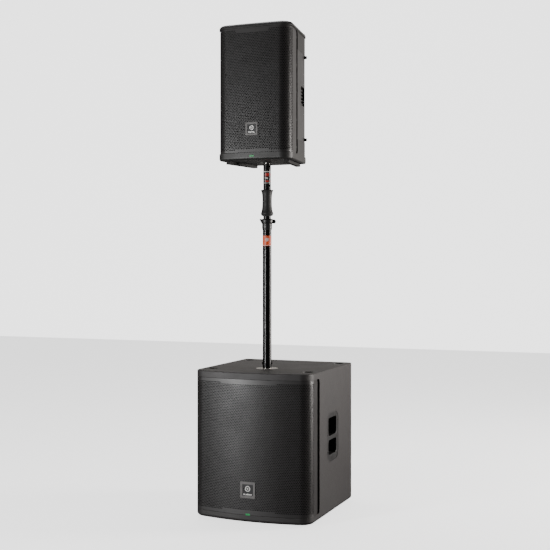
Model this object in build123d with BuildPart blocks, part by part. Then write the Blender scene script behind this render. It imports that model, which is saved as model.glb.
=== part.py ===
from build123d import *

import os
from collections import namedtuple
from math import cos, radians, sin, sqrt

os.makedirs("parts", exist_ok=True)

# A PA column: a subwoofer, a telescopic pole screwed into its top, and a full-range box on the pole.
# +Z is up, the fronts face -Y, and the origin is on the floor under the middle of the subwoofer.
# Sizes are in millimetres.

# ---------------------------------------------------------------- driving sizes

# Clearances shared by everything
TRIM_GAP = 0.3  # round inserts, lenses and covers
BOLT_GAP = 0.2  # round a bolt's shank, in radius
RUN_GAP = 0.06  # radial clearance of a running fit

# Subwoofer cabinet
SUB_WIDTH = 554.0
SUB_DEPTH = 627.0
SUB_HEIGHT = 650.0
SUB_WALL = 18.0
SUB_BOW = 37.6  # how far the front bulges ahead of its corners
SUB_FRONT_ROUND = 60.0
SUB_BACK_ROUND = 16.0
SUB_TOP_EDGE = 5.0
SUB_BOTTOM_EDGE = 14.0
SUB_TOP_BAR = 28.0
SUB_BOTTOM_BAR = 31.0
SUB_BAFFLE_SETBACK = 65.5
SUB_BAFFLE = 24.0
SUB_FLANGE_REACH = 123.5  # from the front's apex to the back edge of the grille's side strip
SUB_CHANNEL = (30.0, 9.0, 18.0)  # width, depth and end radius of the channel beside the strip
SUB_PORT_RADIUS = 48.0
SUB_PORT_LENGTH = 190.0
SUB_PORT_WALL = 4.0
SUB_PORT_ZONE = 96.0  # height below the driver that is kept for the ports
SUB_DRIVER_MARGIN = 26.5

# Feet under the subwoofer and the cups above them
FOOT_RADIUS = 19.0
FOOT_HEIGHT = 10.0
FOOT_SIDE_INSET = 47.0
FOOT_FRONT_INSET = 132.5
FOOT_BACK_INSET = 68.5
CUP_RADIUS = 26.0
CUP_DEPTH = 9.0
CUP_WALL = 2.0

# Side handles of the subwoofer
HANDLE_BEZEL = (156.0, 218.0, 44.0)  # length, height and corner radius
HANDLE_WINDOW = 110.0
HANDLE_UPPER = 80.0
HANDLE_LOWER = 66.0
HANDLE_BAR = 20.0
HANDLE_REACH = 70.0  # depth of the cup behind the bar
HANDLE_WALL = 3.0
HANDLE_FACE = 4.0
HANDLE_Y = 21.0
HANDLE_RISE = 345.0  # from the cabinet's bottom to the middle of the windows
HANDLE_BEZEL_DROP = 3.0  # the bezel's middle lies this far below that of the windows
HANDLE_WINDOW_ROUND = 14.0
HANDLE_EDGE = 3.0  # rounding of the windows' rims
HANDLE_CUP_ROUND = 8.0
HANDLE_SUNK = 1.0  # how far the bezel lies below the cabinet's side
HANDLE_GAP = 1.0  # the shadow gap round the bezel

# Pole
POLE_Y = -90.0
PLATE_RADIUS = 50.5
PLATE_THICK = 4.0
SOCKET_RADIUS = 22.0
SOCKET_DEPTH = 42.0
STUD_RADIUS = 10.0
STUD_LENGTH = 28.0
LOWER_TUBE_RADIUS = 20.0
LOWER_TUBE_WALL = 1.5
LOWER_TUBE_LENGTH = 654.0
UPPER_TUBE_RADIUS = 17.5
UPPER_TUBE_WALL = 1.7
POLE_TRAVEL = 400.0
POLE_SHOWN = 270.0  # upper tube above the lock ring's foot when the pole is fully down
POLE_STAY = 161.0  # upper tube that stays below the lock ring's foot when it is fully up
FOOT_FLANGE = 1.0
FOOT_PLUG = 45.0
GUIDE_BUSH = 60.0
TAIL_PLUG = 30.0
TAIL_CAP = 4.0
COLLAR_CROWN = 1.0  # the collar's wall over the lower tube's end
COLLAR_WALL = 3.0
COLLAR_DEPTH = 28.0
LOCK_RING_HEIGHT = 22.0
LOCK_RING_WALL = 7.0  # the ring and the spigot it turns on stand out this far over the lower tube
LOCK_SPIGOT_WALL = 1.0
LOCK_RING_TURN = 21.65  # degrees, the direction of the ring's wings in plan
GRIP_GAP = 13.0  # between the lock ring and the grip when the pole is fully down
GRIP_LENGTH = 118.0
GRIP_RADIUS = 28.3
GRIP_WAIST = 21.6
HOLE_PITCH = 88.0
HOLE_RADIUS = 4.2
HOLE_TURN = -27.0
BASE_BOLT_RISE = 22.5
SPIGOT_LENGTH = 86.0
SPIGOT_NECK = 15.0
SPIGOT_PLUG = 40.0  # how far the spigot reaches down into the upper tube
SLEEVE_SHOWN = 6.0  # spigot between the upper tube's end and the box
TOP_HOLE_DROP = 11.0  # from the upper tube's end to its first cross hole
BASE_BOLT = (3.0, 6.0, 4.0)  # shank radius, head radius and head height

# Full-range box
SAT_FRONT_WIDTH = 356.0
SAT_BACK_WIDTH = 265.0
SAT_DEPTH = 330.0
SAT_HEIGHT = 602.0
SAT_WALL = 8.0
SAT_BOW = 8.0
SAT_FRONT_ROUND = 50.0
SAT_BACK_ROUND = 24.0
SAT_POLE_AHEAD = 180.0  # from the pole's axis to the front's apex
SAT_CAP = 100.0
SAT_BUMPER = 4.0
SAT_EDGE_ROUND = 16.0
SAT_BOTTOM_ROUND = 10.0
SAT_BACK_EDGE = 28.0  # rounding of the back's top and bottom edges, seen from the side
SAT_SEAM = 1.0  # how far the middle shell lies inside the caps' outline
SAT_TOP_BAR = 20.0
SAT_BOTTOM_BAR = 31.0
SAT_BAFFLE_SETBACK = 48.0
SAT_BAFFLE = 15.0
SAT_FLANGE_REACH = 128.0
SAT_CHANNEL = (30.0, 6.0, 18.0)
SAT_DRIVER_MARGIN = 8.3
SAT_DRIVER_DROP = 12.0  # from the baffle's bottom to the driver's flange
SAT_CUP_RADIUS = 22.0
SAT_CUP_FLANGE = 45.0
SAT_RUNNER = (240.0, 22.0, 12.0)  # length, width and height
SAT_RUNNER_INSET = 20.0
SIDE_STUB = (8.0, 12.0)  # radius and height
SIDE_STUB_INSET = 30.0
SAT_GRIP = (84.0, 92.0, 16.0)  # length, height and depth of the finger recess in each side
SAT_GRIP_Y = -4.0
SAT_GRIP_RISE = 306.0
SAT_GRIP_RIBS = 5
SAT_GRIP_RIB = 7.0
SAT_GRIP_RIB_DROP = 9.0  # how deep the ribs' tops lie below the side

# Horn and its driver
HORN_DEPTH = 96.0
HORN_THROAT = 18.0
HORN_WALL = 3.0
HORN_FLANGE = 4.0
HORN_EDGE = 15.0  # from the flange's edge to the mouth
HORN_TO_WOOFER = 8.0
HORN_TO_TOP = 10.0
HORN_PAD = 84.0

# Hanging inserts
INSERT_RADIUS = 4.25
INSERT_BODY = 7.9
INSERT_LENGTH = 22.0
INSERT_OFFSETS = (-70.0, 90.0)  # along Y from the pole's axis

# Badges and status lenses
SUB_BADGE = 70.0
SUB_PLAQUE = (45.0, 48.0)
SUB_BADGE_RISE = 141.0
SUB_LENS = (20.0, 7.5)
SUB_LENS_LENGTH = 12.0
SAT_BADGE = 57.5
SAT_PLAQUE = (35.0, 37.0)
SAT_BADGE_RISE = 135.0
SAT_LENS = (21.0, 7.0)
SAT_LENS_LENGTH = 9.0
SAT_LENS_RISE = 16.0

# Amplifier controls
PAN_SHEET = 2.0
JACK_RADIUS = 13.0
JACK_WELL = 9.5
JACK_DEPTH = 16.0
JACK_PITCH = 34.0
JACK_PLATE = (30.0, 2.5)  # width and thickness of a socket's square flange
KNOB_RADIUS = 9.5
KNOB_HEIGHT = 16.0
KNOB_SHAFT = 3.0
SWITCH = (13.0, 20.0)
SWITCH_ROCK = 7.0  # degrees to either side
INLET = (28.0, 21.0)
INLET_DEPTH = 22.0
DISPLAY = (62.0, 30.0)
DISPLAY_HEIGHT = 3.0
BOARD_DROP = 26.0  # from the pan to the circuit board

# Grilles
GRILLE_SHEET = 2.0
GRILLE_LIP = 22.0
FOAM = 3.0
FOAM_GAP = 0.2
FOAM_SETBACK = 6.0  # from the baffle's face to the foam's edges
SCREW_BITE = 3.5  # how far a grille screw goes into the cabinet

Plan = namedtuple("Plan", "front_half back_half front_y back_y bow front_round back_round")
Driver = namedtuple(
    "Driver",
    "flange flange_width seat basket magnet_radius magnet_depth coil_radius roll cone_depth throw bolts",
)
Amp = namedtuple("Amp", "width height recess margin rim jacks sink_height")

SUB_DRIVER = Driver(8.0, 24.0, 16.0, 120.0, 105.0, 62.0, 50.0, 11.0, 92.0, 8.0, 8)
SAT_DRIVER = Driver(7.0, 16.0, 11.0, 84.0, 70.0, 44.0, 32.0, 8.0, 62.0, 5.0, 8)
FIN_PITCH = 12.0
CONTROL_INSET = 26.0  # from the pan's wall to the middle of the outer controls
SUB_AMP = Amp(330.0, 400.0, 34.0, 16.0, 2.5, 4, 190.0)
SAT_AMP = Amp(190.0, 330.0, 30.0, 12.0, 2.5, 3, 90.0)

# ---------------------------------------------------------------- sizes worked out from them

sub_bottom = FOOT_HEIGHT
sub_top = sub_bottom + SUB_HEIGHT
sub_plan = Plan(
    SUB_WIDTH / 2,
    SUB_WIDTH / 2,
    -SUB_DEPTH / 2,
    SUB_DEPTH / 2,
    SUB_BOW,
    SUB_FRONT_ROUND,
    SUB_BACK_ROUND,
)
sub_grille_z = (sub_bottom + SUB_BOTTOM_BAR, sub_top - SUB_TOP_BAR)
sub_baffle_y = sub_plan.front_y + SUB_BAFFLE_SETBACK

lower_tube_z = sub_top + FOOT_FLANGE
lower_tube_top = lower_tube_z + LOWER_TUBE_LENGTH
lower_bore = LOWER_TUBE_RADIUS - LOWER_TUBE_WALL
collar_radius = LOWER_TUBE_RADIUS + COLLAR_WALL
ring_radius = LOWER_TUBE_RADIUS + LOCK_RING_WALL
ring_seat = LOWER_TUBE_RADIUS + LOCK_SPIGOT_WALL
ring_z = lower_tube_top + COLLAR_CROWN
grip_z = ring_z + LOCK_RING_HEIGHT + GRIP_GAP
upper_tube_top = ring_z + POLE_SHOWN
upper_tube_z = ring_z - POLE_TRAVEL - POLE_STAY
sat_bottom = upper_tube_top + SLEEVE_SHOWN
sat_top = sat_bottom + SAT_HEIGHT
sat_plan = Plan(
    SAT_FRONT_WIDTH / 2,
    SAT_BACK_WIDTH / 2,
    POLE_Y - SAT_POLE_AHEAD,
    POLE_Y - SAT_POLE_AHEAD + SAT_DEPTH,
    SAT_BOW,
    SAT_FRONT_ROUND,
    SAT_BACK_ROUND,
)
sat_grille_z = (sat_bottom + SAT_BOTTOM_BAR, sat_top - SAT_TOP_BAR)
sat_baffle_y = sat_plan.front_y + SAT_BAFFLE_SETBACK
FAR = 2 * max(SUB_WIDTH, SUB_DEPTH, SUB_HEIGHT)  # reaches past everything that is cut with it

# ---------------------------------------------------------------- shared shapes


def save(piece, label):
    """Name a finished piece and write it as its own file."""
    piece.part.label = label
    export_step(piece.part, "parts/" + label + ".step")


def lean_of(plan):
    """How much a cabinet's half width shrinks for each millimetre towards the back."""
    return (plan.front_half - plan.back_half) / (plan.back_y - plan.front_y - plan.bow)


def half_width(plan, y, inset=0.0):
    """Half the cabinet's width at y, moved in by inset square to the side."""
    lean = lean_of(plan)
    return plan.front_half - lean * (y - plan.front_y - plan.bow) - inset * sqrt(1 + lean**2)


def draw_plan(plan, inset=0.0):
    """Draw a cabinet's plan, moved in by inset, and give its face."""
    front, back = plan.front_y + inset, plan.back_y - inset
    bow_radius = (plan.front_half**2 + plan.bow**2) / (2 * plan.bow)
    front_half, back_half = half_width(plan, front, inset), half_width(plan, back, inset)
    with BuildSketch() as outline:
        with BuildLine():
            Polyline(
                (-front_half, front), (front_half, front), (back_half, back), (-back_half, back), close=True
            )
        make_face()
        with Locations((0, plan.front_y + bow_radius)):
            Circle(bow_radius - inset, mode=Mode.INTERSECT)
        fillet(outline.vertices().group_by(Axis.Y)[0], max(plan.front_round - inset, 1))
        fillet(outline.vertices().group_by(Axis.Y)[-1], max(plan.back_round - inset, 1))
    return outline.sketch


def plan_block(plan, low, high, inset=0.0, mode=Mode.ADD, y_range=None):
    """A cabinet's plan between two heights, or only the stretch of it between two values of y."""
    with BuildSketch(Plane.XY.offset(low)) as block:
        add(draw_plan(plan, inset))
        if y_range:
            with Locations((0, sum(y_range) / 2)):
                Rectangle(FAR, y_range[1] - y_range[0], mode=Mode.INTERSECT)
    extrude(block.sketch, amount=high - low, mode=mode)


def side_plane(plan, side, depth=0.0):
    """The plane of a cabinet's side (+1 right, -1 left), depth below its surface.

    Its X runs along the side, side * (distance behind the front corner), and its Y is the height.
    """
    lean = lean_of(plan)
    normal = Vector(side, lean, 0).normalized()
    along = Vector(-side * lean, 1, 0).normalized() * side
    corner = Vector(side * plan.front_half, plan.front_y + plan.bow, 0)
    return Plane(corner - normal * depth, x_dir=along, z_dir=normal)


def along_side(plan, y):
    """How far along a side the given y lies, from the front corner."""
    return (y - plan.front_y - plan.bow) * sqrt(1 + lean_of(plan) ** 2)


def spun(axis, points, mode=Mode.ADD):
    """Turn a closed outline, given as (radius, height along the axis), about the axis."""
    across = Vector(1, 0, 0)
    plane = Plane(axis.position, x_dir=across, z_dir=across.cross(axis.direction))
    with BuildSketch(plane) as profile:
        with BuildLine():
            Polyline(*points, close=True)
        make_face()
    revolve(profile.sketch, axis=axis, mode=mode)


def bolt(face, at, shank, length, head, head_height, hex_radius=0.0):
    """A bolt with its head on a face: at is its place in the face's plane."""
    with BuildSketch(face) as shank_circle:
        with Locations(at):
            Circle(shank)
    extrude(shank_circle.sketch, amount=-length)
    with BuildSketch(face) as head_circle:
        with Locations(at):
            Circle(head)
    extrude(head_circle.sketch, amount=head_height)
    if hex_radius:
        with BuildSketch(face.offset(head_height)) as key:
            with Locations(at):
                RegularPolygon(hex_radius, 6)
        extrude(key.sketch, amount=-head_height * 0.6, mode=Mode.SUBTRACT)


def drill(face, places, radius, depth):
    """Round holes of one depth, cut down from a face."""
    with BuildSketch(face) as holes:
        with Locations(*places):
            Circle(radius)
    extrude(holes.sketch, amount=-depth, mode=Mode.SUBTRACT)


def slab(face, size, at, low, high, mode=Mode.ADD, corner=0.0):
    """A rectangle on a face's plane, from low to high along its normal."""
    with BuildSketch(face.offset(low)) as outline:
        with Locations(at):
            if corner:
                RectangleRounded(size[0], size[1], corner)
            else:
                Rectangle(*size)
    extrude(outline.sketch, amount=high - low, mode=mode)


def channel_cut(plan, grille_z, reach, channel):
    """The channel that takes the grille's side strip and its screwed lip, in both sides."""
    width, depth, end_radius = channel
    back = along_side(plan, plan.front_y + reach) + width
    for side in (-1, 1):
        with BuildSketch(side_plane(plan, side, depth)) as channel_shape:
            with Locations((side * (back - FAR / 2), sum(grille_z) / 2)):
                Rectangle(FAR, grille_z[1] - grille_z[0])
            ends = channel_shape.vertices().sort_by(Axis.X)
            fillet(ends[-2:] if side > 0 else ends[:2], end_radius)
        extrude(channel_shape.sketch, amount=depth + SAT_BUMPER + 1, mode=Mode.SUBTRACT)


def front_cut(plan, grille_z, baffle_y):
    """Open the front between its bars, back to the face of the baffle."""
    middle = (0, (plan.front_y - FAR + baffle_y) / 2)
    slab(Plane.XY, (FAR, baffle_y - plan.front_y + FAR), middle, *grille_z, mode=Mode.SUBTRACT)


# ---------------------------------------------------------------- grilles, foam and their screws


def make_grille(prefix, plan, grille_z, baffle_y, reach, channel, lens):
    """The front sheet with its side strips, which turn in to a lip that is screwed in the channel."""
    low, high = grille_z[0] + TRIM_GAP, grille_z[1] - TRIM_GAP
    strip_edge = plan.front_y + reach
    width, depth, end_radius = channel
    strip = along_side(plan, strip_edge)
    lip_middle = strip + (GRILLE_LIP - GRILLE_SHEET) / 2
    straight = high - low - 2 * end_radius
    with BuildPart() as grille:
        plan_block(plan, low, high, y_range=(-FAR, strip_edge))
        plan_block(plan, low, high, GRILLE_SHEET, Mode.SUBTRACT)
        for side in (-1, 1):
            with BuildSketch(side_plane(plan, side, GRILLE_SHEET + 2)) as corners:
                round_end = end_radius - GRILLE_SHEET
                for end, height in ((-1, low), (1, high)):
                    centre = (side * (strip - round_end), height - end * round_end)
                    with Locations((centre[0] + side * round_end, centre[1] + end * round_end)):
                        Rectangle(2 * round_end, 2 * round_end)
                    with Locations(centre):
                        Circle(round_end, mode=Mode.SUBTRACT)
            extrude(corners.sketch, amount=GRILLE_SHEET + 3, mode=Mode.SUBTRACT)
        for side in (-1, 1):
            surface = side_plane(plan, side)
            middle = sum(grille_z) / 2
            slab(surface, (GRILLE_SHEET, straight), (side * (strip - 1.5), middle), -depth, -0.5)
            slab(surface, (GRILLE_LIP, straight), (side * lip_middle, middle), -depth, GRILLE_SHEET - depth)
            drill(surface, screw_places(plan, side, grille_z, reach), 2 + BOLT_GAP, depth + 1)
        if lens:
            front = Plane((0, plan.front_y, 0), x_dir=(1, 0, 0), z_dir=(0, -1, 0))
            slab(front, (lens[0] + 2, 2 * lens[1] + 2), (0, low), -GRILLE_SHEET * 3, 1, Mode.SUBTRACT)
    save(grille, prefix + "_grille")

    with BuildPart() as foam:
        plan_block(plan, low + 2, high - 2, GRILLE_SHEET + FOAM_GAP, y_range=(-FAR, baffle_y - FOAM_SETBACK))
        plan_block(plan, low, high, GRILLE_SHEET + FOAM_GAP + FOAM, Mode.SUBTRACT)
        if lens:
            slab(front, (lens[0] + 6, 4 * lens[1]), (0, low), -GRILLE_SHEET * 10, 1, Mode.SUBTRACT)
    save(foam, prefix + "_grille_foam")


def grille_screws(plan, grille_z, reach, channel):
    """The screws that hold the grille's lip down in the channels."""
    for side in (-1, 1):
        lip_face = side_plane(plan, side, channel[1] - GRILLE_SHEET)
        for place in screw_places(plan, side, grille_z, reach):
            bolt(lip_face, place, 2, GRILLE_SHEET + SCREW_BITE, 5, 2.2, 1.6)


def screw_places(plan, side, grille_z, reach):
    """Where the grille's screws go down the channel, in the plane of that side."""
    count = round((grille_z[1] - grille_z[0]) / 134)
    pitch = (grille_z[1] - grille_z[0] - 60) / count
    row = along_side(plan, plan.front_y + reach) + 13
    return [(side * row, grille_z[0] + 30 + pitch * index) for index in range(count + 1)]


# ---------------------------------------------------------------- drivers


def driver_axis(mount_y, middle_z):
    """A driver's axis: along +Y, from the face of the baffle."""
    return Axis((0, mount_y, middle_z), (0, 1, 0))


def driver_bolt_places(outer, driver):
    """Bolt places round a driver's flange."""
    circle = outer - driver.seat / 2
    turns = [radians(360 / driver.bolts * (index + 0.5)) for index in range(driver.bolts)]
    return [(circle * cos(turn), circle * sin(turn)) for turn in turns]


def make_driver(prefix, driver, outer, mount_y, middle_z):
    """A woofer of the given outer radius, mounted on the front of its baffle."""
    axis = driver_axis(mount_y, middle_z)
    front = -driver.flange
    gasket = outer - driver.flange_width
    ledge = gasket - 10
    ledge_y = front + 4
    basket, magnet, coil = driver.basket, driver.magnet_radius, driver.coil_radius
    plate = basket + 5
    cone_edge = ledge - 2 * driver.roll
    flange_face = Plane((0, mount_y + front, middle_z), x_dir=(1, 0, 0), z_dir=(0, -1, 0))

    with BuildPart() as frame:
        spun(axis, [
            (outer, front), (outer, 0), (ledge + 3, 0), (magnet + 3, basket), (magnet + 3, plate),
            (coil + 8, plate), (coil + 8, basket), (magnet, basket), (ledge, 0), (ledge, ledge_y),
            (gasket, ledge_y), (gasket, front),
        ])
        window_face = Plane((0, mount_y + 0.2 * basket, middle_z), x_dir=(1, 0, 0), z_dir=(0, 1, 0))
        window_length = ledge - magnet + 20
        with BuildSketch(window_face) as windows:
            with PolarLocations(magnet + 8 + window_length / 2, 6):
                Rectangle(window_length, 0.72 * magnet)
        extrude(windows.sketch, amount=0.62 * basket, mode=Mode.SUBTRACT)
        drill(flange_face, driver_bolt_places(outer, driver), 2.5 + BOLT_GAP, driver.flange)
    save(frame, prefix + "_woofer_frame")

    yoke = plate + driver.magnet_depth
    with BuildPart() as motor:
        spun(axis, [
            (0, plate), (coil - 1.5, plate), (coil - 1.5, yoke - 12), (coil + 3.5, yoke - 12),
            (coil + 3.5, plate), (magnet, plate), (magnet, yoke), (0, yoke),
        ])
    save(motor, prefix + "_woofer_magnet")

    roll_middle = (ledge + cone_edge) / 2
    skin = 1.2
    plane = Plane(axis.position, x_dir=(1, 0, 0), z_dir=(0, 0, 1))
    with BuildPart() as surround:
        with BuildSketch(plane) as roll:
            with BuildLine():
                Polyline((gasket - 1, ledge_y), (gasket - 1, ledge_y - skin), (ledge, ledge_y - skin))
                ThreePointArc(
                    (ledge, ledge_y - skin), (roll_middle, ledge_y - skin - driver.roll), (cone_edge, ledge_y - skin)
                )
                Polyline(
                    (cone_edge, ledge_y - skin), (cone_edge - 6, ledge_y - skin), (cone_edge - 6, ledge_y),
                    (cone_edge + skin, ledge_y),
                )
                ThreePointArc(
                    (cone_edge + skin, ledge_y), (roll_middle, ledge_y - driver.roll), (ledge - skin, ledge_y)
                )
                Line((ledge - skin, ledge_y), (gasket - 1, ledge_y))
            make_face()
        revolve(roll.sketch, axis=axis)
        rest = basket - 9
        edge = ledge + (magnet - ledge) * (rest / basket) - 1
        waves = 4
        step = (edge - coil - 2.2) / (2 * waves)
        tops = [(coil + 2.2 + step * index, rest - 2 * (index % 2)) for index in range(2 * waves + 1)]
        spun(axis, tops + [(radius, height + 1) for radius, height in reversed(tops)])
    save(surround, prefix + "_woofer_suspension")

    depth = driver.cone_depth
    cap = coil * 1.25
    cap_y = ledge_y + (depth - ledge_y) * (cone_edge - cap) / (cone_edge - coil)
    rise = 0.4 * coil
    dome = (cap**2 + rise**2) / (2 * rise)
    shoulder = cap_y - rise + dome - sqrt(dome**2 - (cap / 2) ** 2)
    gap_end = yoke - 12 - driver.throw - 4
    with BuildPart() as cone:
        with BuildSketch(plane) as paper:
            with BuildLine():
                Line((0, cap_y - rise), (0, cap_y - rise + 1.5))
                ThreePointArc((0, cap_y - rise + 1.5), (cap / 2, shoulder + 1.5), (cap, cap_y + 1.5))
                Polyline(
                    (cap, cap_y + 1.5), (coil + 0.6, depth + 1.5), (coil + 3, depth + 3), (cone_edge, ledge_y + 2),
                    (cone_edge, ledge_y), (cap, cap_y),
                )
                ThreePointArc((cap, cap_y), (cap / 2, shoulder), (0, cap_y - rise))
            make_face()
        revolve(paper.sketch, axis=axis)
        spun(axis, [
            (coil - 0.4, depth + 3.2), (coil + 0.4, depth + 3.2), (coil + 0.4, plate - 4), (coil + 1.8, plate - 4),
            (coil + 1.8, gap_end), (coil - 0.4, gap_end),
        ])
    save(cone, prefix + "_woofer_cone")


def driver_bolts(driver, outer, mount_y, middle_z):
    """The bolts round a driver's flange."""
    flange_face = Plane((0, mount_y - driver.flange, middle_z), x_dir=(1, 0, 0), z_dir=(0, -1, 0))
    for place in driver_bolt_places(outer, driver):
        bolt(flange_face, place, 2.5, driver.flange + 10, 4.5, 4, 2.2)


# ---------------------------------------------------------------- amplifiers


def amp_places(amp, middle_z):
    """Heights of an amplifier's controls, and the places of its sockets, on the floor of its pan."""
    floor_low = middle_z - amp.height / 2 + amp.margin
    jack_z = floor_low + 40
    first = -JACK_PITCH * (amp.jacks - 1) / 2
    jacks = [(first + JACK_PITCH * index, jack_z) for index in range(amp.jacks)]
    side = amp.width / 2 - amp.margin - CONTROL_INSET
    return {
        "jacks": jacks,
        "knob": (-side, jack_z + 56),
        "display": (0, jack_z + 56),
        "switch": (side, jack_z + 56),
        "inlet": (side, jack_z + 92),
        "sink": middle_z + amp.height / 2 - amp.margin - 12 - amp.sink_height / 2,
    }


def rim_screws(amp, middle_z):
    """Where an amplifier's panel is screwed to the cabinet."""
    x, z = (amp.width - amp.margin) / 2, (amp.height - amp.margin) / 2
    return [(side * x, middle_z + up * z) for side in (-1, 1) for up in (-1, 0, 1)]


def make_amp(prefix, amp, back_y, middle_z):
    """A plate amplifier: its pan hangs through the cabinet's back, its controls face +Y."""
    back = Plane((0, back_y, 0), x_dir=(-1, 0, 0), z_dir=(0, 1, 0))
    floor = back.offset(-amp.recess)
    mirror_x = [(-x, z) for x, z in rim_screws(amp, middle_z)]
    outer = (amp.width - 2 * amp.margin, amp.height - 2 * amp.margin)
    places = amp_places(amp, middle_z)
    plate, flange = JACK_PLATE
    switch, inlet = SWITCH, INLET

    with BuildPart() as panel:
        slab(back, (amp.width, amp.height), (0, middle_z), 0, amp.rim, corner=8)
        slab(back, outer, (0, middle_z), -amp.recess - PAN_SHEET, 0, corner=6)
        inner = (outer[0] - 2 * PAN_SHEET, outer[1] - 2 * PAN_SHEET)
        slab(back, inner, (0, middle_z), -amp.recess, amp.rim, Mode.SUBTRACT, corner=5)
        drill(back.offset(amp.rim), mirror_x, 2 + BOLT_GAP, amp.rim)
        drill(back.offset(amp.rim), mirror_x, 3.6 + BOLT_GAP, 1.2)
        drill(floor, places["jacks"], JACK_RADIUS + TRIM_GAP, PAN_SHEET)
        drill(floor, [places["knob"]], KNOB_SHAFT + RUN_GAP, PAN_SHEET)
        slab(floor, (switch[0] + 2, switch[1] + 2), places["switch"], -PAN_SHEET, 0, Mode.SUBTRACT)
        slab(floor, inlet, places["inlet"], -PAN_SHEET, 0, Mode.SUBTRACT)
        width = outer[0] - 2 * PAN_SHEET - 24
        slab(floor, (width, amp.sink_height), (0, places["sink"]), 0, 4)
        fins = int(width / FIN_PITCH)
        for index in range(fins + 1):
            x = (index - fins / 2) * FIN_PITCH
            slab(floor, (2.6, amp.sink_height), (x, places["sink"]), 4, amp.recess - 2)
    save(panel, prefix + "_amp_panel")

    with BuildPart() as jacks:
        for place in places["jacks"]:
            slab(floor, (plate, plate), place, 0, flange, corner=4)
            drill(floor.offset(flange), [place], JACK_RADIUS, flange)
            with BuildSketch(floor.offset(flange)) as barrel:
                with Locations(place):
                    Circle(JACK_RADIUS)
                    Circle(JACK_WELL, mode=Mode.SUBTRACT)
            extrude(barrel.sketch, amount=-JACK_DEPTH - 4)
            with BuildSketch(floor.offset(-JACK_DEPTH - 1.5)) as bottom:
                with Locations(place):
                    Circle(JACK_WELL)
            extrude(bottom.sketch, amount=2)
            with BuildSketch(floor.offset(-JACK_DEPTH + 0.5)) as contacts:
                with Locations(place):
                    with PolarLocations(5.5, 3, start_angle=-90):
                        Circle(1.2)
            extrude(contacts.sketch, amount=9)
    save(jacks, prefix + "_signal_jacks")

    with BuildPart() as mains:
        slab(floor, (36, 30), places["inlet"], 0, 2.5, corner=4)
        slab(floor, (inlet[0] - TRIM_GAP, inlet[1] - TRIM_GAP), places["inlet"], -INLET_DEPTH, 0)
        slab(floor, (inlet[0] - 4, inlet[1] - 4.5), places["inlet"], 3 - INLET_DEPTH, 2.5, Mode.SUBTRACT, 3)
        x, z = places["inlet"]
        for pin_x, pin_z in ((-7, -2), (0, 2.5), (7, -2)):
            slab(floor, (2, 4), (x + pin_x, z + pin_z), 3 - INLET_DEPTH, -5)
        # the bezel that the power rocker sits in
        slab(floor, (switch[0] + 6, switch[1] + 6), places["switch"], 0, 1.5, corner=2)
        slab(floor, (switch[0] + 2 - TRIM_GAP, switch[1] + 2 - TRIM_GAP), places["switch"], -14, 0)
        slab(floor, switch, places["switch"], -11, 1.5, Mode.SUBTRACT)
    save(mains, prefix + "_mains_inlet")

    switch_x, switch_z = places["switch"]
    pivot_y = back_y - amp.recess - 2.5
    tilted = Plane((-switch_x, pivot_y, switch_z), x_dir=(0, 1, 0), z_dir=(1, 0, 0)).rotated((0, 0, SWITCH_ROCK))
    with BuildPart() as rocker:
        with BuildSketch(tilted) as wedge:
            with BuildLine():
                half = switch[1] / 2 - 1.2
                Polyline((3.2, -half), (2.2, 0), (3.2, half), (-3, half - 2), (-3, -half + 2), close=True)
            make_face()
        extrude(wedge.sketch, amount=switch[0] / 2 - 0.6, both=True)
    save(rocker, prefix + "_power_switch")

    with BuildPart() as level_knob:
        knob_axis = Axis((-places["knob"][0], back_y - amp.recess, places["knob"][1]), (0, 1, 0))
        spun(knob_axis, [
            (0, -9), (KNOB_SHAFT, -9), (KNOB_SHAFT, 1), (KNOB_RADIUS, 1), (KNOB_RADIUS, 3),
            (KNOB_RADIUS - 1.2, KNOB_HEIGHT - 1), (KNOB_RADIUS - 2.4, KNOB_HEIGHT), (0, KNOB_HEIGHT),
        ])
        knob_face = floor.offset(KNOB_HEIGHT)
        with BuildSketch(knob_face) as grips:
            with Locations(places["knob"]):
                with PolarLocations(KNOB_RADIUS + 0.4, 12):
                    Circle(1.4)
        extrude(grips.sketch, amount=-12, mode=Mode.SUBTRACT)
        mark = (places["knob"][0], places["knob"][1] + 4)
        slab(knob_face, (1.4, 5), mark, -0.8, 0, Mode.SUBTRACT)
    save(level_knob, prefix + "_level_knob")

    with BuildPart() as screen:
        slab(floor, DISPLAY, places["display"], 0, DISPLAY_HEIGHT, corner=3)
    save(screen, prefix + "_amp_display")

    with BuildPart() as module:
        board = floor.offset(-PAN_SHEET - BOARD_DROP)
        slab(board, (outer[0] - 20, outer[1] - 30), (0, middle_z), -2, 0)
        for side in (-1, 1):
            for up in (-1, 1):
                place = (side * (outer[0] / 2 - 20), middle_z + up * (outer[1] / 2 - 30))
                with BuildSketch(board) as posts:
                    with Locations(place):
                        Circle(4)
                extrude(posts.sketch, amount=BOARD_DROP)
        slab(board, (46, 46), (outer[0] / 5, middle_z + outer[1] / 5), -34, -2)
        slab(board, (70, 24), (-outer[0] / 6, middle_z + outer[1] / 4), -22, -2)
        for index in range(3):
            with BuildSketch(board.offset(-2)) as capacitor:
                with Locations((-outer[0] / 5 + 34 * index, middle_z - outer[1] / 6)):
                    Circle(12)
            extrude(capacitor.sketch, amount=-38)
    save(module, prefix + "_amp_module")


def amp_screws(amp, back_y, middle_z):
    """The flush screws round an amplifier's panel."""
    face = Plane((0, back_y + amp.rim - 1.2, 0), x_dir=(-1, 0, 0), z_dir=(0, 1, 0))
    for x, z in rim_screws(amp, middle_z):
        bolt(face, (-x, z), 2, 12, 3.6, 1.2, 1.5)


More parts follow.
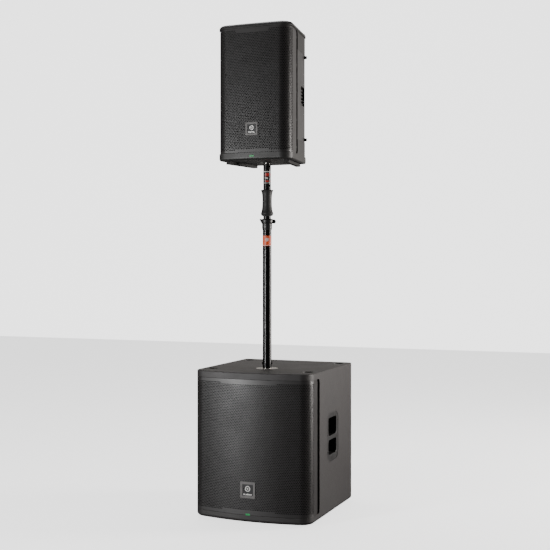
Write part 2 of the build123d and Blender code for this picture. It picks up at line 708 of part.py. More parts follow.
def amp_cutout(amp, back_y, middle_z, wall):
    """The hole in a cabinet's back for the pan, and the pilot holes of its screws."""
    back = Plane((0, back_y, 0), x_dir=(-1, 0, 0), z_dir=(0, 1, 0))
    size = (amp.width - 2 * amp.margin + 2 * TRIM_GAP, amp.height - 2 * amp.margin + 2 * TRIM_GAP)
    slab(back, size, (0, middle_z), -wall - 20, 1, Mode.SUBTRACT, corner=6)
    drill(back, [(-x, z) for x, z in rim_screws(amp, middle_z)], 2, min(wall, 12))


# ---------------------------------------------------------------- badges and lenses


def make_badge(prefix, plan, size, plaque, middle_z):
    """A square frame with a plaque in it, on the front of a grille: a plain disc mark and a stripe."""
    face = Plane((0, plan.front_y, 0), x_dir=(1, 0, 0), z_dir=(0, -1, 0))
    rim = size / 7
    opening = size - 2 * rim
    with BuildPart() as badge:
        slab(face, (size, size), (0, middle_z), 0, 2.5, corner=2)
        slab(face, (opening, opening), (0, middle_z), 0.4, 2.5, Mode.SUBTRACT, corner=1)
        slab(face, plaque, (0, middle_z), 0.4, 1.8)
        with BuildSketch(face.offset(1.8)) as mark:
            with Locations((0, middle_z + plaque[1] * 0.12)):
                Circle(plaque[0] * 0.28)
                Circle(plaque[0] * 0.19, mode=Mode.SUBTRACT)
                Circle(plaque[0] * 0.09)
        extrude(mark.sketch, amount=0.6)
        stripe = (0, middle_z - plaque[1] / 2 + plaque[1] * 0.1)
        slab(face, (plaque[0] * 0.92, plaque[1] * 0.1), stripe, 1.8, 2.4)
    save(badge, prefix + "_badge")


def make_lens(prefix, plan, size, middle_z, length):
    """The status lens, a small light pipe flush with the front."""
    face = Plane((0, plan.front_y, 0), x_dir=(1, 0, 0), z_dir=(0, -1, 0))
    with BuildPart() as lens:
        slab(face, size, (0, middle_z), -length, 0.4, corner=1)
    save(lens, prefix + "_status_lens")


# ---------------------------------------------------------------- subwoofer

sub_inner = (half_width(sub_plan, sub_baffle_y, SUB_WALL), SUB_HEIGHT - 2 * SUB_WALL)
sub_driver_radius = min(2 * sub_inner[0], sub_inner[1] - SUB_PORT_ZONE) / 2 - SUB_DRIVER_MARGIN
sub_driver_z = sub_top - SUB_WALL - SUB_DRIVER_MARGIN - sub_driver_radius
port_x = sub_inner[0] - 20 - SUB_PORT_RADIUS - SUB_PORT_WALL
port_z = sub_bottom + SUB_WALL + 20 + SUB_PORT_RADIUS + SUB_PORT_WALL
foot_places = [
    (side * (SUB_WIDTH / 2 - FOOT_SIDE_INSET), y)
    for side in (-1, 1)
    for y in (sub_plan.front_y + FOOT_FRONT_INSET, sub_plan.back_y - FOOT_BACK_INSET)
]
handle_z = sub_bottom + HANDLE_RISE
windows = HANDLE_UPPER + HANDLE_BAR + HANDLE_LOWER
sub_amp_z = sub_bottom + SUB_HEIGHT / 2
sub_lens_z = sub_grille_z[0] + SUB_LENS[1] / 2
sub_top_face = Plane.XY.offset(sub_top)
plate_screw_radius = (PLATE_RADIUS + SOCKET_RADIUS) / 2
plate_screw_places = [
    (plate_screw_radius * cos(radians(turn)), POLE_Y + plate_screw_radius * sin(radians(turn)))
    for turn in (45, 135, 225, 315)
]

with BuildPart() as sub_cabinet:
    plan_block(sub_plan, sub_bottom, sub_top)
    fillet(sub_cabinet.edges().group_by(Axis.Z)[-1], SUB_TOP_EDGE)
    fillet(sub_cabinet.edges().group_by(Axis.Z)[0], SUB_BOTTOM_EDGE)
    plan_block(sub_plan, sub_bottom + SUB_WALL, sub_top - SUB_WALL, SUB_WALL, Mode.SUBTRACT)
    front_cut(sub_plan, sub_grille_z, sub_baffle_y)
    channel_cut(sub_plan, sub_grille_z, SUB_FLANGE_REACH, SUB_CHANNEL)
    drill(sub_top_face, foot_places, CUP_RADIUS + TRIM_GAP, CUP_DEPTH + CUP_WALL)
    drill(sub_top_face, [(0, POLE_Y)], PLATE_RADIUS + TRIM_GAP, PLATE_THICK)
    drill(sub_top_face, [(0, POLE_Y)], SOCKET_RADIUS + TRIM_GAP, SUB_WALL)
    drill(sub_top_face, plate_screw_places, 2, SUB_WALL - 2)
    amp_cutout(SUB_AMP, sub_plan.back_y, sub_amp_z, SUB_WALL)
    for side in (-1, 1):
        surface = side_plane(sub_plan, side)
        handle_x = side * along_side(sub_plan, HANDLE_Y)
        bezel = (HANDLE_BEZEL[0] + 2 * HANDLE_GAP, HANDLE_BEZEL[1] + 2 * HANDLE_GAP)
        bezel_at = (handle_x, handle_z - HANDLE_BEZEL_DROP)
        slab(surface, bezel, bezel_at, -HANDLE_FACE, 1, Mode.SUBTRACT, HANDLE_BEZEL[2])
        cup = (HANDLE_WINDOW + 2 * HANDLE_WALL + 2 * TRIM_GAP, windows + 2 * HANDLE_WALL + 2 * TRIM_GAP)
        slab(surface, cup, (handle_x, handle_z), -SUB_WALL - 1, 1, Mode.SUBTRACT, 12)
        grille_pilots = screw_places(sub_plan, side, sub_grille_z, SUB_FLANGE_REACH)
        drill(side_plane(sub_plan, side, SUB_CHANNEL[1]), grille_pilots, 2, SCREW_BITE)
save(sub_cabinet, "sub_cabinet")

with BuildPart() as sub_baffle:
    baffle_z = (sub_bottom + SUB_WALL, sub_top - SUB_WALL)
    plan_block(sub_plan, *baffle_z, SUB_WALL, y_range=(sub_baffle_y, sub_baffle_y + SUB_BAFFLE))
    baffle_face = Plane((0, sub_baffle_y, 0), x_dir=(1, 0, 0), z_dir=(0, -1, 0))
    drill(baffle_face, [(0, sub_driver_z)], sub_driver_radius - SUB_DRIVER.seat, SUB_BAFFLE)
    drill(baffle_face, [(-port_x, port_z), (port_x, port_z)], SUB_PORT_RADIUS + SUB_PORT_WALL, SUB_BAFFLE)
    bolt_places = [(x, z + sub_driver_z) for x, z in driver_bolt_places(sub_driver_radius, SUB_DRIVER)]
    drill(baffle_face, bolt_places, 2.5, 10)
save(sub_baffle, "sub_baffle")

with BuildPart() as sub_port_tubes:
    for side in (-1, 1):
        port_axis = Axis((side * port_x, sub_baffle_y, port_z), (0, 1, 0))
        bore, tube = SUB_PORT_RADIUS, SUB_PORT_RADIUS + SUB_PORT_WALL
        spun(port_axis, [
            (bore + 4, -3), (tube + 8, -3), (tube + 8, 0), (tube, 0), (tube, SUB_PORT_LENGTH),
            (bore, SUB_PORT_LENGTH), (bore, 4),
        ])
save(sub_port_tubes, "sub_port_tubes")

make_grille("sub", sub_plan, sub_grille_z, sub_baffle_y, SUB_FLANGE_REACH, SUB_CHANNEL, SUB_LENS)
make_driver("sub", SUB_DRIVER, sub_driver_radius, sub_baffle_y, sub_driver_z)
make_badge("sub", sub_plan, SUB_BADGE, SUB_PLAQUE, sub_bottom + SUB_BADGE_RISE)
make_lens("sub", sub_plan, SUB_LENS, sub_lens_z, SUB_LENS_LENGTH)
make_amp("sub", SUB_AMP, sub_plan.back_y, sub_amp_z)

with BuildPart() as sub_screws:
    grille_screws(sub_plan, sub_grille_z, SUB_FLANGE_REACH, SUB_CHANNEL)
    driver_bolts(SUB_DRIVER, sub_driver_radius, sub_baffle_y, sub_driver_z)
    amp_screws(SUB_AMP, sub_plan.back_y, sub_amp_z)
save(sub_screws, "sub_screws")

with BuildPart() as sub_handles:
    for side in (-1, 1):
        surface = side_plane(sub_plan, side)
        at = (side * along_side(sub_plan, HANDLE_Y), handle_z)
        bezel_at = (at[0], at[1] - HANDLE_BEZEL_DROP)
        slab(surface, HANDLE_BEZEL[:2], bezel_at, -HANDLE_FACE, -HANDLE_SUNK, corner=HANDLE_BEZEL[2])
        shell = (HANDLE_WINDOW + 2 * HANDLE_WALL, windows + 2 * HANDLE_WALL)
        slab(surface, shell, at, -HANDLE_REACH - HANDLE_WALL, -HANDLE_FACE, corner=HANDLE_CUP_ROUND + HANDLE_WALL)
        slab(surface, (HANDLE_WINDOW, windows), at, -HANDLE_REACH, -HANDLE_BAR, Mode.SUBTRACT, HANDLE_CUP_ROUND)
        for low, height in ((0, HANDLE_LOWER), (HANDLE_LOWER + HANDLE_BAR, HANDLE_UPPER)):
            window_at = (at[0], at[1] - windows / 2 + low + height / 2)
            window = (HANDLE_WINDOW, height)
            slab(surface, window, window_at, -HANDLE_BAR - 1, 0, Mode.SUBTRACT, HANDLE_WINDOW_ROUND)
    face_x = SUB_WIDTH / 2 - HANDLE_SUNK
    face_edges = sub_handles.edges().filter_by(lambda edge: abs(abs(edge.center().X) - face_x) < 0.01)
    rims = face_edges.filter_by(lambda edge: abs(edge.center().Y - HANDLE_Y) < HANDLE_WINDOW / 2 + 1)
    fillet(rims.filter_by(lambda edge: abs(edge.center().Z - handle_z) < windows / 2 + 1), HANDLE_EDGE)
save(sub_handles, "sub_handles")

with BuildPart() as sub_pole_plate:
    pole_axis = Axis((0, POLE_Y, sub_top), (0, 0, 1))
    with BuildSketch(sub_top_face.offset(-PLATE_THICK)) as disc:
        with Locations((0, POLE_Y)):
            Circle(PLATE_RADIUS)
    extrude(disc.sketch, amount=PLATE_THICK)
    fillet(sub_pole_plate.edges().group_by(Axis.Z)[-1], 1)
    with BuildSketch(sub_top_face.offset(-SOCKET_DEPTH)) as boss:
        with Locations((0, POLE_Y)):
            Circle(SOCKET_RADIUS)
    extrude(boss.sketch, amount=SOCKET_DEPTH - PLATE_THICK)
    drill(sub_top_face, [(0, POLE_Y)], STUD_RADIUS, SOCKET_DEPTH - 4)
    drill(sub_top_face, plate_screw_places, 2.5 + BOLT_GAP, PLATE_THICK)
save(sub_pole_plate, "sub_pole_plate")

with BuildPart() as sub_plate_screws:
    for place in plate_screw_places:
        bolt(sub_top_face, place, 2, 14, 4.5, 1.6, 1.8)
save(sub_plate_screws, "sub_pole_plate_screws")

with BuildPart() as sub_feet:
    with BuildSketch() as pads:
        with Locations(*foot_places):
            Circle(FOOT_RADIUS)
    extrude(pads.sketch, amount=FOOT_HEIGHT, taper=-8)
    fillet(sub_feet.edges().group_by(Axis.Z)[0], 1.5)
save(sub_feet, "sub_feet")

with BuildPart() as sub_stack_cups:
    for x, y in foot_places:
        cup_axis = Axis((x, y, sub_top), (0, 0, 1))
        inner = CUP_RADIUS - CUP_WALL
        spun(cup_axis, [
            (0, -CUP_DEPTH - CUP_WALL), (CUP_RADIUS, -CUP_DEPTH - CUP_WALL), (CUP_RADIUS, -0.2),
            (inner + 0.5, -0.2), (inner - 3, -CUP_DEPTH), (0, -CUP_DEPTH),
        ])
save(sub_stack_cups, "sub_stack_cups")

# ---------------------------------------------------------------- pole


def pole_spun(points, mode=Mode.ADD):
    """Turn an outline of (radius, height above the floor) about the pole's axis."""
    spun(Axis((0, POLE_Y, 0), (0, 0, 1)), points, mode)


def tube(radius, wall, low, high):
    """A plain round tube on the pole's axis."""
    pole_spun([(radius - wall, low), (radius, low), (radius, high), (radius - wall, high)])


def cross_plane(turn, height):
    """A plane through the pole's axis that looks out sideways in the given direction."""
    out = (cos(radians(turn)), sin(radians(turn)), 0)
    return Plane((0, POLE_Y, height), x_dir=(-out[1], out[0], 0), z_dir=out)


base_bolt_z = lower_tube_z + BASE_BOLT_RISE
base_cross = cross_plane(LOCK_RING_TURN, base_bolt_z)

with BuildPart() as pole_foot_plug:
    stud = STUD_RADIUS - 0.1
    plug = lower_bore - 0.05
    pole_spun([
        (0, sub_top - STUD_LENGTH), (stud - 1, sub_top - STUD_LENGTH), (stud, sub_top - STUD_LENGTH + 1),
        (stud, sub_top), (LOWER_TUBE_RADIUS, sub_top), (LOWER_TUBE_RADIUS, lower_tube_z), (plug, lower_tube_z),
        (plug, lower_tube_z + FOOT_PLUG), (0, lower_tube_z + FOOT_PLUG),
    ])
    drill(base_cross.offset(LOWER_TUBE_RADIUS), [(0, 0)], BASE_BOLT[0] + BOLT_GAP, 2 * LOWER_TUBE_RADIUS)
save(pole_foot_plug, "pole_foot_plug")

with BuildPart() as pole_lower_tube:
    tube(LOWER_TUBE_RADIUS, LOWER_TUBE_WALL, lower_tube_z, lower_tube_top)
    cross_length = 2 * LOWER_TUBE_RADIUS + 2
    drill(base_cross.offset(LOWER_TUBE_RADIUS + 1), [(0, 0)], BASE_BOLT[0] + BOLT_GAP, cross_length)
save(pole_lower_tube, "pole_lower_tube")

with BuildPart() as pole_base_bolt:
    shank, head, head_height = BASE_BOLT
    bolt_face = base_cross.offset(LOWER_TUBE_RADIUS + 0.1)
    bolt(bolt_face, (0, 0), shank, 2 * LOWER_TUBE_RADIUS + 4, head, head_height, 2.5)
    nut_face = cross_plane(LOCK_RING_TURN + 180, base_bolt_z).offset(LOWER_TUBE_RADIUS + 0.1)
    with BuildSketch(nut_face) as nut:
        RegularPolygon(5.5, 6)
    extrude(nut.sketch, amount=3.5)
save(pole_base_bolt, "pole_base_bolt")

with BuildPart() as pole_guide_bush:
    bush_wall = lower_bore - UPPER_TUBE_RADIUS - RUN_GAP
    tube(lower_bore, bush_wall, lower_tube_top - GUIDE_BUSH, lower_tube_top)
save(pole_guide_bush, "pole_guide_bush")

with BuildPart() as pole_collar:
    bore = UPPER_TUBE_RADIUS + RUN_GAP
    low = ring_z - COLLAR_DEPTH
    spigot_top = ring_z + LOCK_RING_HEIGHT
    pole_spun([
        (LOWER_TUBE_RADIUS, low), (LOWER_TUBE_RADIUS + 1.2, low), (collar_radius - 0.8, low + 5),
        (collar_radius, low + 8), (collar_radius, ring_z), (ring_seat, ring_z),
        (ring_seat, spigot_top - 1), (ring_seat - 1, spigot_top), (bore, spigot_top),
        (bore, lower_tube_top), (LOWER_TUBE_RADIUS, lower_tube_top),
    ])
save(pole_collar, "pole_collar")

with BuildPart() as pole_lock_ring:
    bore = ring_seat + RUN_GAP
    low, high = ring_z + TRIM_GAP, ring_z + LOCK_RING_HEIGHT - TRIM_GAP
    pole_spun([
        (bore, low), (ring_radius - 3, low), (ring_radius, low + 5), (ring_radius, high - 6),
        (ring_radius - 4, high), (bore, high),
    ])
    wing_plane = Plane((0, POLE_Y, 0), x_dir=(cos(radians(LOCK_RING_TURN)), sin(radians(LOCK_RING_TURN)), 0),
                       z_dir=(sin(radians(LOCK_RING_TURN)), -cos(radians(LOCK_RING_TURN)), 0))
    with BuildSketch(wing_plane) as pointed_wing:
        with BuildLine():
            Polyline(
                (5 - ring_radius, low + 1), (2 - ring_radius, low + 1), (-ring_radius - 7.5, high - 3),
                (-ring_radius - 6, high), (5 - ring_radius, high - 1), close=True
            )
        make_face()
    extrude(pointed_wing.sketch, amount=6, both=True)
    with BuildSketch(wing_plane) as knob_wing:
        with BuildLine():
            knob_x = ring_radius + 4
            Polyline((ring_radius - 5, low + 3), (knob_x, low), (knob_x, high - 3), (ring_radius - 5, high), close=True)
        make_face()
        with Locations((knob_x, (low + high) / 2 - 1)):
            Circle(9.2)
    extrude(knob_wing.sketch, amount=7, both=True)
    pole_spun([(0, low - 1), (bore, low - 1), (bore, high + 1), (0, high + 1)], Mode.SUBTRACT)
save(pole_lock_ring, "pole_lock_ring")

with BuildPart() as pole_upper_tube:
    tube(UPPER_TUBE_RADIUS, UPPER_TUBE_WALL, upper_tube_z, upper_tube_top)
    highest = upper_tube_top - TOP_HOLE_DROP
    count = int((highest - upper_tube_z) / HOLE_PITCH)
    for index in range(count):
        through = cross_plane(HOLE_TURN, highest - HOLE_PITCH * index).offset(UPPER_TUBE_RADIUS + 1)
        drill(through, [(0, 0)], HOLE_RADIUS, 2 * UPPER_TUBE_RADIUS + 2)
save(pole_upper_tube, "pole_upper_tube")

with BuildPart() as pole_tail_bush:
    tail = lower_bore - RUN_GAP
    inside = UPPER_TUBE_RADIUS - UPPER_TUBE_WALL
    pole_spun([
        (0, upper_tube_z - TAIL_CAP), (tail, upper_tube_z - TAIL_CAP), (tail, upper_tube_z),
        (inside, upper_tube_z), (inside, upper_tube_z + TAIL_PLUG), (0, upper_tube_z + TAIL_PLUG),
    ])
save(pole_tail_bush, "pole_tail_bush")

with BuildPart() as pole_grip:
    grip_top = grip_z + GRIP_LENGTH
    profile_plane = Plane((0, POLE_Y, 0), x_dir=(1, 0, 0), z_dir=(0, -1, 0))
    with BuildSketch(profile_plane) as grip_profile:
        with BuildLine():
            Polyline((GRIP_RADIUS - 1, grip_top), (UPPER_TUBE_RADIUS, grip_top), (UPPER_TUBE_RADIUS, grip_z),
                     (UPPER_TUBE_RADIUS + 3, grip_z))
            lower_round = Spline((UPPER_TUBE_RADIUS + 3, grip_z), (GRIP_RADIUS - 1.5, grip_z + 5),
                                 (GRIP_RADIUS, grip_z + 10), (GRIP_RADIUS - 2.2, grip_z + 19),
                                 (GRIP_WAIST + 1.2, grip_z + 38), (GRIP_WAIST, grip_z + 60),
                                 (GRIP_WAIST + 0.9, grip_top - 25), (GRIP_RADIUS - 3, grip_top - 9),
                                 (GRIP_RADIUS, grip_top - 2))
            Line((GRIP_RADIUS, grip_top - 2), (GRIP_RADIUS - 1, grip_top))
        make_face()
    revolve(grip_profile.sketch, axis=Axis((0, POLE_Y, 0), (0, 0, 1)))
save(pole_grip, "pole_grip")

with BuildPart() as pole_top_sleeve:
    inside = UPPER_TUBE_RADIUS - UPPER_TUBE_WALL - 0.05
    head = UPPER_TUBE_RADIUS - RUN_GAP
    crown = upper_tube_top + SPIGOT_LENGTH
    pole_spun([
        (0, upper_tube_top - SPIGOT_PLUG), (inside, upper_tube_top - SPIGOT_PLUG), (inside, upper_tube_top),
        (head, upper_tube_top),
        (head, upper_tube_top + 1), (SPIGOT_NECK, upper_tube_top + 2.5), (SPIGOT_NECK, upper_tube_top + 13),
        (head, upper_tube_top + 16), (head, crown - 2), (head - 2, crown), (0, crown),
    ])
    through = cross_plane(HOLE_TURN, upper_tube_top - TOP_HOLE_DROP).offset(UPPER_TUBE_RADIUS + 1)
    drill(through, [(0, 0)], HOLE_RADIUS, 2 * UPPER_TUBE_RADIUS + 2)
save(pole_top_sleeve, "pole_top_sleeve")

# ---------------------------------------------------------------- full-range box

sat_bumper_plan = sat_plan._replace(
    front_half=sat_plan.front_half + SAT_BUMPER, back_half=sat_plan.back_half + SAT_BUMPER
)
sat_seams = (sat_bottom + SAT_CAP, sat_top - SAT_CAP)
sat_inner_low = sat_bottom + SAT_WALL
sat_inner_high = sat_top - SAT_WALL
sat_inner_half = half_width(sat_plan, sat_baffle_y, SAT_WALL)
sat_driver_radius = sat_inner_half - SAT_DRIVER_MARGIN
sat_driver_z = sat_inner_low + SAT_DRIVER_DROP + sat_driver_radius
horn_low = sat_driver_z + sat_driver_radius + HORN_TO_WOOFER
horn_high = sat_inner_high - HORN_TO_TOP
horn_z = (horn_low + horn_high) / 2
horn_size = (2 * (sat_inner_half - 20), horn_high - horn_low)
sat_amp_z = sat_bottom + SAT_HEIGHT / 2
sat_grip_z = sat_bottom + SAT_GRIP_RISE
sat_cup_top = upper_tube_top + SPIGOT_LENGTH
insert_y = [POLE_Y + offset for offset in INSERT_OFFSETS]
sat_front = Plane((0, sat_baffle_y, 0), x_dir=(1, 0, 0), z_dir=(0, -1, 0))
sat_lens_z = sat_bottom + SAT_LENS_RISE


def sat_body_cuts():
    """Everything cut out of the box's three shells alike: cavity, front, channels, grips, amplifier, lens."""
    plan_block(sat_plan, sat_inner_low, sat_inner_high, SAT_WALL, Mode.SUBTRACT)
    front_cut(sat_plan, sat_grille_z, sat_baffle_y)
    channel_cut(sat_plan, sat_grille_z, SAT_FLANGE_REACH, SAT_CHANNEL)
    amp_cutout(SAT_AMP, sat_plan.back_y, sat_amp_z, SAT_WALL)
    for side in (-1, 1):
        at = (side * along_side(sat_plan, SAT_GRIP_Y), sat_grip_z)
        size = (SAT_GRIP[0] + 2 * TRIM_GAP, SAT_GRIP[1] + 2 * TRIM_GAP)
        slab(side_plane(sat_plan, side), size, at, -SAT_WALL - 5, 1, Mode.SUBTRACT, corner=12)
        pilots = screw_places(sat_plan, side, sat_grille_z, SAT_FLANGE_REACH)
        drill(side_plane(sat_plan, side, SAT_CHANNEL[1]), pilots, 2, SCREW_BITE)


def round_back(end, up):
    """Round a cap's edge at the back, seen from the side, over a bar that keeps the wall whole."""
    bar = SAT_WALL + SAT_BACK_EDGE / 2
    heights = sorted((end - up * bar, end - up))
    plan_block(sat_plan, *heights, 1, y_range=(sat_plan.back_y - bar, sat_plan.back_y - 1))
    centre = (sat_plan.back_y - SAT_BACK_EDGE, end - up * SAT_BACK_EDGE)
    reach = SAT_BACK_EDGE + SAT_BUMPER
    with BuildSketch(Plane.YZ) as corner:
        with Locations((centre[0] + reach / 2, centre[1] + up * reach / 2)):
            Rectangle(reach, reach)
        with Locations(centre):
            Circle(SAT_BACK_EDGE, mode=Mode.SUBTRACT)
    extrude(corner.sketch, amount=SAT_FRONT_WIDTH, both=True, mode=Mode.SUBTRACT)


with BuildPart() as sat_shell:
    plan_block(sat_plan, *sat_seams, SAT_SEAM)
    sat_body_cuts()
save(sat_shell, "sat_shell")

with BuildPart() as sat_top_cap:
    plan_block(sat_plan, sat_seams[1], sat_top - SAT_TOP_BAR)
    plan_block(sat_bumper_plan, sat_top - SAT_TOP_BAR, sat_top)
    fillet(sat_top_cap.edges().group_by(Axis.Z)[-1], SAT_EDGE_ROUND)
    sat_body_cuts()
    round_back(sat_top, 1)
    for y in insert_y:
        drill(Plane.XY.offset(sat_top), [(0, y)], INSERT_BODY + 0.1, SAT_WALL + 1)
save(sat_top_cap, "sat_top_cap")

with BuildPart() as sat_bottom_cap:
    plan_block(sat_plan, sat_bottom + SAT_BOTTOM_BAR, sat_seams[0])
    plan_block(sat_bumper_plan, sat_bottom, sat_bottom + SAT_BOTTOM_BAR)
    fillet(sat_bottom_cap.edges().group_by(Axis.Z)[0], SAT_BOTTOM_ROUND)
    sat_body_cuts()
    round_back(sat_bottom, -1)
    drill(Plane.XY.offset(sat_inner_low + 1), [(0, POLE_Y)], SAT_CUP_RADIUS + TRIM_GAP, SAT_WALL + 2)
    drill(Plane.XY.offset(sat_bottom + 2), [(0, POLE_Y)], SAT_CUP_FLANGE + TRIM_GAP, 3)
    lens_face = Plane((0, sat_plan.front_y, 0), x_dir=(1, 0, 0), z_dir=(0, -1, 0))
    hole = (SAT_LENS[0] + 2 * TRIM_GAP, SAT_LENS[1] + 2 * TRIM_GAP)
    slab(lens_face, hole, (0, sat_lens_z), -SAT_WALL - 2, 1, Mode.SUBTRACT, corner=1)
save(sat_bottom_cap, "sat_bottom_cap")

with BuildPart() as sat_baffle:
    y_range = (sat_baffle_y, sat_baffle_y + SAT_BAFFLE)
    plan_block(sat_plan, sat_inner_low, sat_inner_high, SAT_WALL, y_range=y_range)
    drill(sat_front, [(0, sat_driver_z)], sat_driver_radius - SAT_DRIVER.seat, SAT_BAFFLE)
    slab(sat_front, (horn_size[0] - 20, horn_size[1] - 20), (0, horn_z), -SAT_BAFFLE, 1, Mode.SUBTRACT, corner=4)
    bolt_places = [(x, z + sat_driver_z) for x, z in driver_bolt_places(sat_driver_radius, SAT_DRIVER)]
    drill(sat_front, bolt_places, 2.5, 10)
save(sat_baffle, "sat_baffle")

make_grille("sat", sat_plan, sat_grille_z, sat_baffle_y, SAT_FLANGE_REACH, SAT_CHANNEL, None)
make_driver("sat", SAT_DRIVER, sat_driver_radius, sat_baffle_y, sat_driver_z)
make_badge("sat", sat_plan, SAT_BADGE, SAT_PLAQUE, sat_bottom + SAT_BADGE_RISE)
make_lens("sat", sat_plan, SAT_LENS, sat_lens_z, SAT_LENS_LENGTH)
make_amp("sat", SAT_AMP, sat_plan.back_y, sat_amp_z)

with BuildPart() as sat_screws:
    grille_screws(sat_plan, sat_grille_z, SAT_FLANGE_REACH, SAT_CHANNEL)
    driver_bolts(SAT_DRIVER, sat_driver_radius, sat_baffle_y, sat_driver_z)
    amp_screws(SAT_AMP, sat_plan.back_y, sat_amp_z)
save(sat_screws, "sat_screws")

with BuildPart() as sat_horn:
    slab(sat_front, horn_size, (0, horn_z), 0, HORN_FLANGE, corner=8)
    mouth = (horn_size[0] - 2 * HORN_EDGE, horn_size[1] - 2 * HORN_EDGE)
    for wall, mode in ((HORN_WALL, Mode.ADD), (0.0, Mode.SUBTRACT)):
        with BuildSketch(sat_front.offset(HORN_FLANGE)) as mouth_face:
            with Locations((0, horn_z)):
                RectangleRounded(mouth[0] + 2 * wall, mouth[1] + 2 * wall, 20)
        with BuildSketch(sat_front.offset(-HORN_DEPTH * 0.45)) as middle_face:
            with Locations((0, horn_z)):
                RectangleRounded(mouth[0] * 0.42 + 2 * wall, mouth[1] * 0.5 + 2 * wall, 18)
        with BuildSketch(sat_front.offset(-HORN_DEPTH)) as throat_face:
            with Locations((0, horn_z)):
                RectangleRounded(2 * HORN_THROAT + 2 * wall, 2 * HORN_THROAT + 2 * wall, 12)
        loft([mouth_face.sketch, middle_face.sketch, throat_face.sketch], mode=mode)
    slab(sat_front, (HORN_PAD, HORN_PAD), (0, horn_z), -HORN_DEPTH, 4 - HORN_DEPTH, corner=10)
    drill(sat_front.offset(5 - HORN_DEPTH), [(0, horn_z)], HORN_THROAT - 1, 6)
save(sat_horn, "sat_horn")

with BuildPart() as sat_compression_driver:
    horn_axis = Axis((0, sat_baffle_y + HORN_DEPTH, horn_z), (0, 1, 0))
    spun(horn_axis, [
        (HORN_THROAT - 1, 0), (HORN_PAD / 2, 0), (HORN_PAD / 2, 8), (50, 10), (52, 14), (52, 44), (48, 50),
        (0, 50), (0, 14),
        (HORN_THROAT - 1, 10),
    ])
save(sat_compression_driver, "sat_compression_driver")

with BuildPart() as sat_grips:
    length, height, depth = SAT_GRIP
    rib_pitch = (height - 6) / (SAT_GRIP_RIBS + 0.5)
    for side in (-1, 1):
        surface = side_plane(sat_plan, side, 1.0)
        at = (side * along_side(sat_plan, SAT_GRIP_Y), sat_grip_z)
        slab(surface, (length, height), at, -depth - 3, 0, corner=12)
        slab(surface, (length - 6, height - 6), at, -depth, 0, Mode.SUBTRACT, corner=9)
        for index in range(SAT_GRIP_RIBS):
            rib_z = at[1] + rib_pitch * (index - (SAT_GRIP_RIBS - 1) / 2)
            slab(surface, (length - 5, SAT_GRIP_RIB), (at[0], rib_z), -depth, -SAT_GRIP_RIB_DROP)
save(sat_grips, "sat_grips")

with BuildPart() as sat_pole_cup:
    bore = UPPER_TUBE_RADIUS + RUN_GAP
    shell = SAT_CUP_RADIUS
    pole_spun([
        (bore + 1, sat_bottom - 1), (SAT_CUP_FLANGE, sat_bottom - 1), (SAT_CUP_FLANGE, sat_bottom + 2),
        (shell, sat_bottom + 2), (shell, sat_cup_top + 4), (0, sat_cup_top + 4), (0, sat_cup_top),
        (bore, sat_cup_top), (bore, sat_bottom),
    ])
save(sat_pole_cup, "sat_pole_cup")

with BuildPart() as sat_rubber_feet:
    length, width, height = SAT_RUNNER
    for side in (-1, 1):
        flank = side_plane(sat_plan, side, SAT_RUNNER_INSET)
        start = along_side(sat_plan, POLE_Y - 115)
        runner = (side * (start + length / 2), sat_bottom - height / 2)
        slab(flank, (length, height), runner, -width, 0)
    fillet(sat_rubber_feet.edges().group_by(Axis.Z)[0], 2.5)
    radius, height = SIDE_STUB
    for side in (-1, 1):
        surface = side_plane(sat_plan, side, 1.0)
        row = along_side(sat_plan, sat_plan.back_y - SIDE_STUB_INSET)
        for z in (sat_seams[0] + 12, sat_seams[1] - 12):
            with BuildSketch(surface) as pad:
                with Locations((side * row, z)):
                    Circle(radius)
            extrude(pad.sketch, amount=height, taper=8)
save(sat_rubber_feet, "sat_rubber_feet")

with BuildPart() as sat_inserts:
    for y in insert_y:
        insert_axis = Axis((0, y, sat_top), (0, 0, 1))
        spun(insert_axis, [
            (INSERT_RADIUS, -INSERT_LENGTH), (INSERT_BODY, -INSERT_LENGTH), (INSERT_BODY, 0),
            (INSERT_RADIUS, 0),
        ])
save(sat_inserts, "sat_hanging_inserts")
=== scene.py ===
import math

import bpy
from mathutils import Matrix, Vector


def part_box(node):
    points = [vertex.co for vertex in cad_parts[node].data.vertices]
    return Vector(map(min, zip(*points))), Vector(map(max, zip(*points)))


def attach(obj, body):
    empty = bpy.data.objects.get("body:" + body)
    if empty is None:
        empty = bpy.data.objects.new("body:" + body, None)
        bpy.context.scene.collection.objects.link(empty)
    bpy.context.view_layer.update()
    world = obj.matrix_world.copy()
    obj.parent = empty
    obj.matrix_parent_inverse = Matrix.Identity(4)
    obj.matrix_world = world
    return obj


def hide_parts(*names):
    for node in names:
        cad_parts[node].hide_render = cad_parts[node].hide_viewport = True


# %% [markdown]
# # PA column: the looks round the CAD frame
# A subwoofer stands on four rubber feet. A telescopic pole screws into its top plate and carries a
# full-range box. The subwoofer is birch plywood with a sprayed coat and the box is moulded
# polypropylene; both fronts are perforated steel with black foam behind it. The CAD nodes stay where
# they are. The steps below give every surface its finish and model what a plain solid can't show:
# the perforations, the labels, the printed legends and the small trim screws.

# %%
# Load the frame
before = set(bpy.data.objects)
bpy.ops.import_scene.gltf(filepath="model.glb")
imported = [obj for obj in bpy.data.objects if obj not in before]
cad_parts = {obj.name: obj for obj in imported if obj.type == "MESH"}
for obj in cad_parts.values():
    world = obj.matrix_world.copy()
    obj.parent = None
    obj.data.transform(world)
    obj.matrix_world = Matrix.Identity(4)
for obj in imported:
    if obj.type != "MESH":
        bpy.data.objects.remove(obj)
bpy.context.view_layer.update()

# %% [markdown]
# ## Finishes
# Each finish is a node tree built by one function, so that pattern sizes are given in millimetres.
# Colours are sRGB hex, linearised once. Patterns hang on object coordinates: every node and piece
# sits at the origin, so a metre of pattern is a metre of part.

# %%
# Helpers for node trees


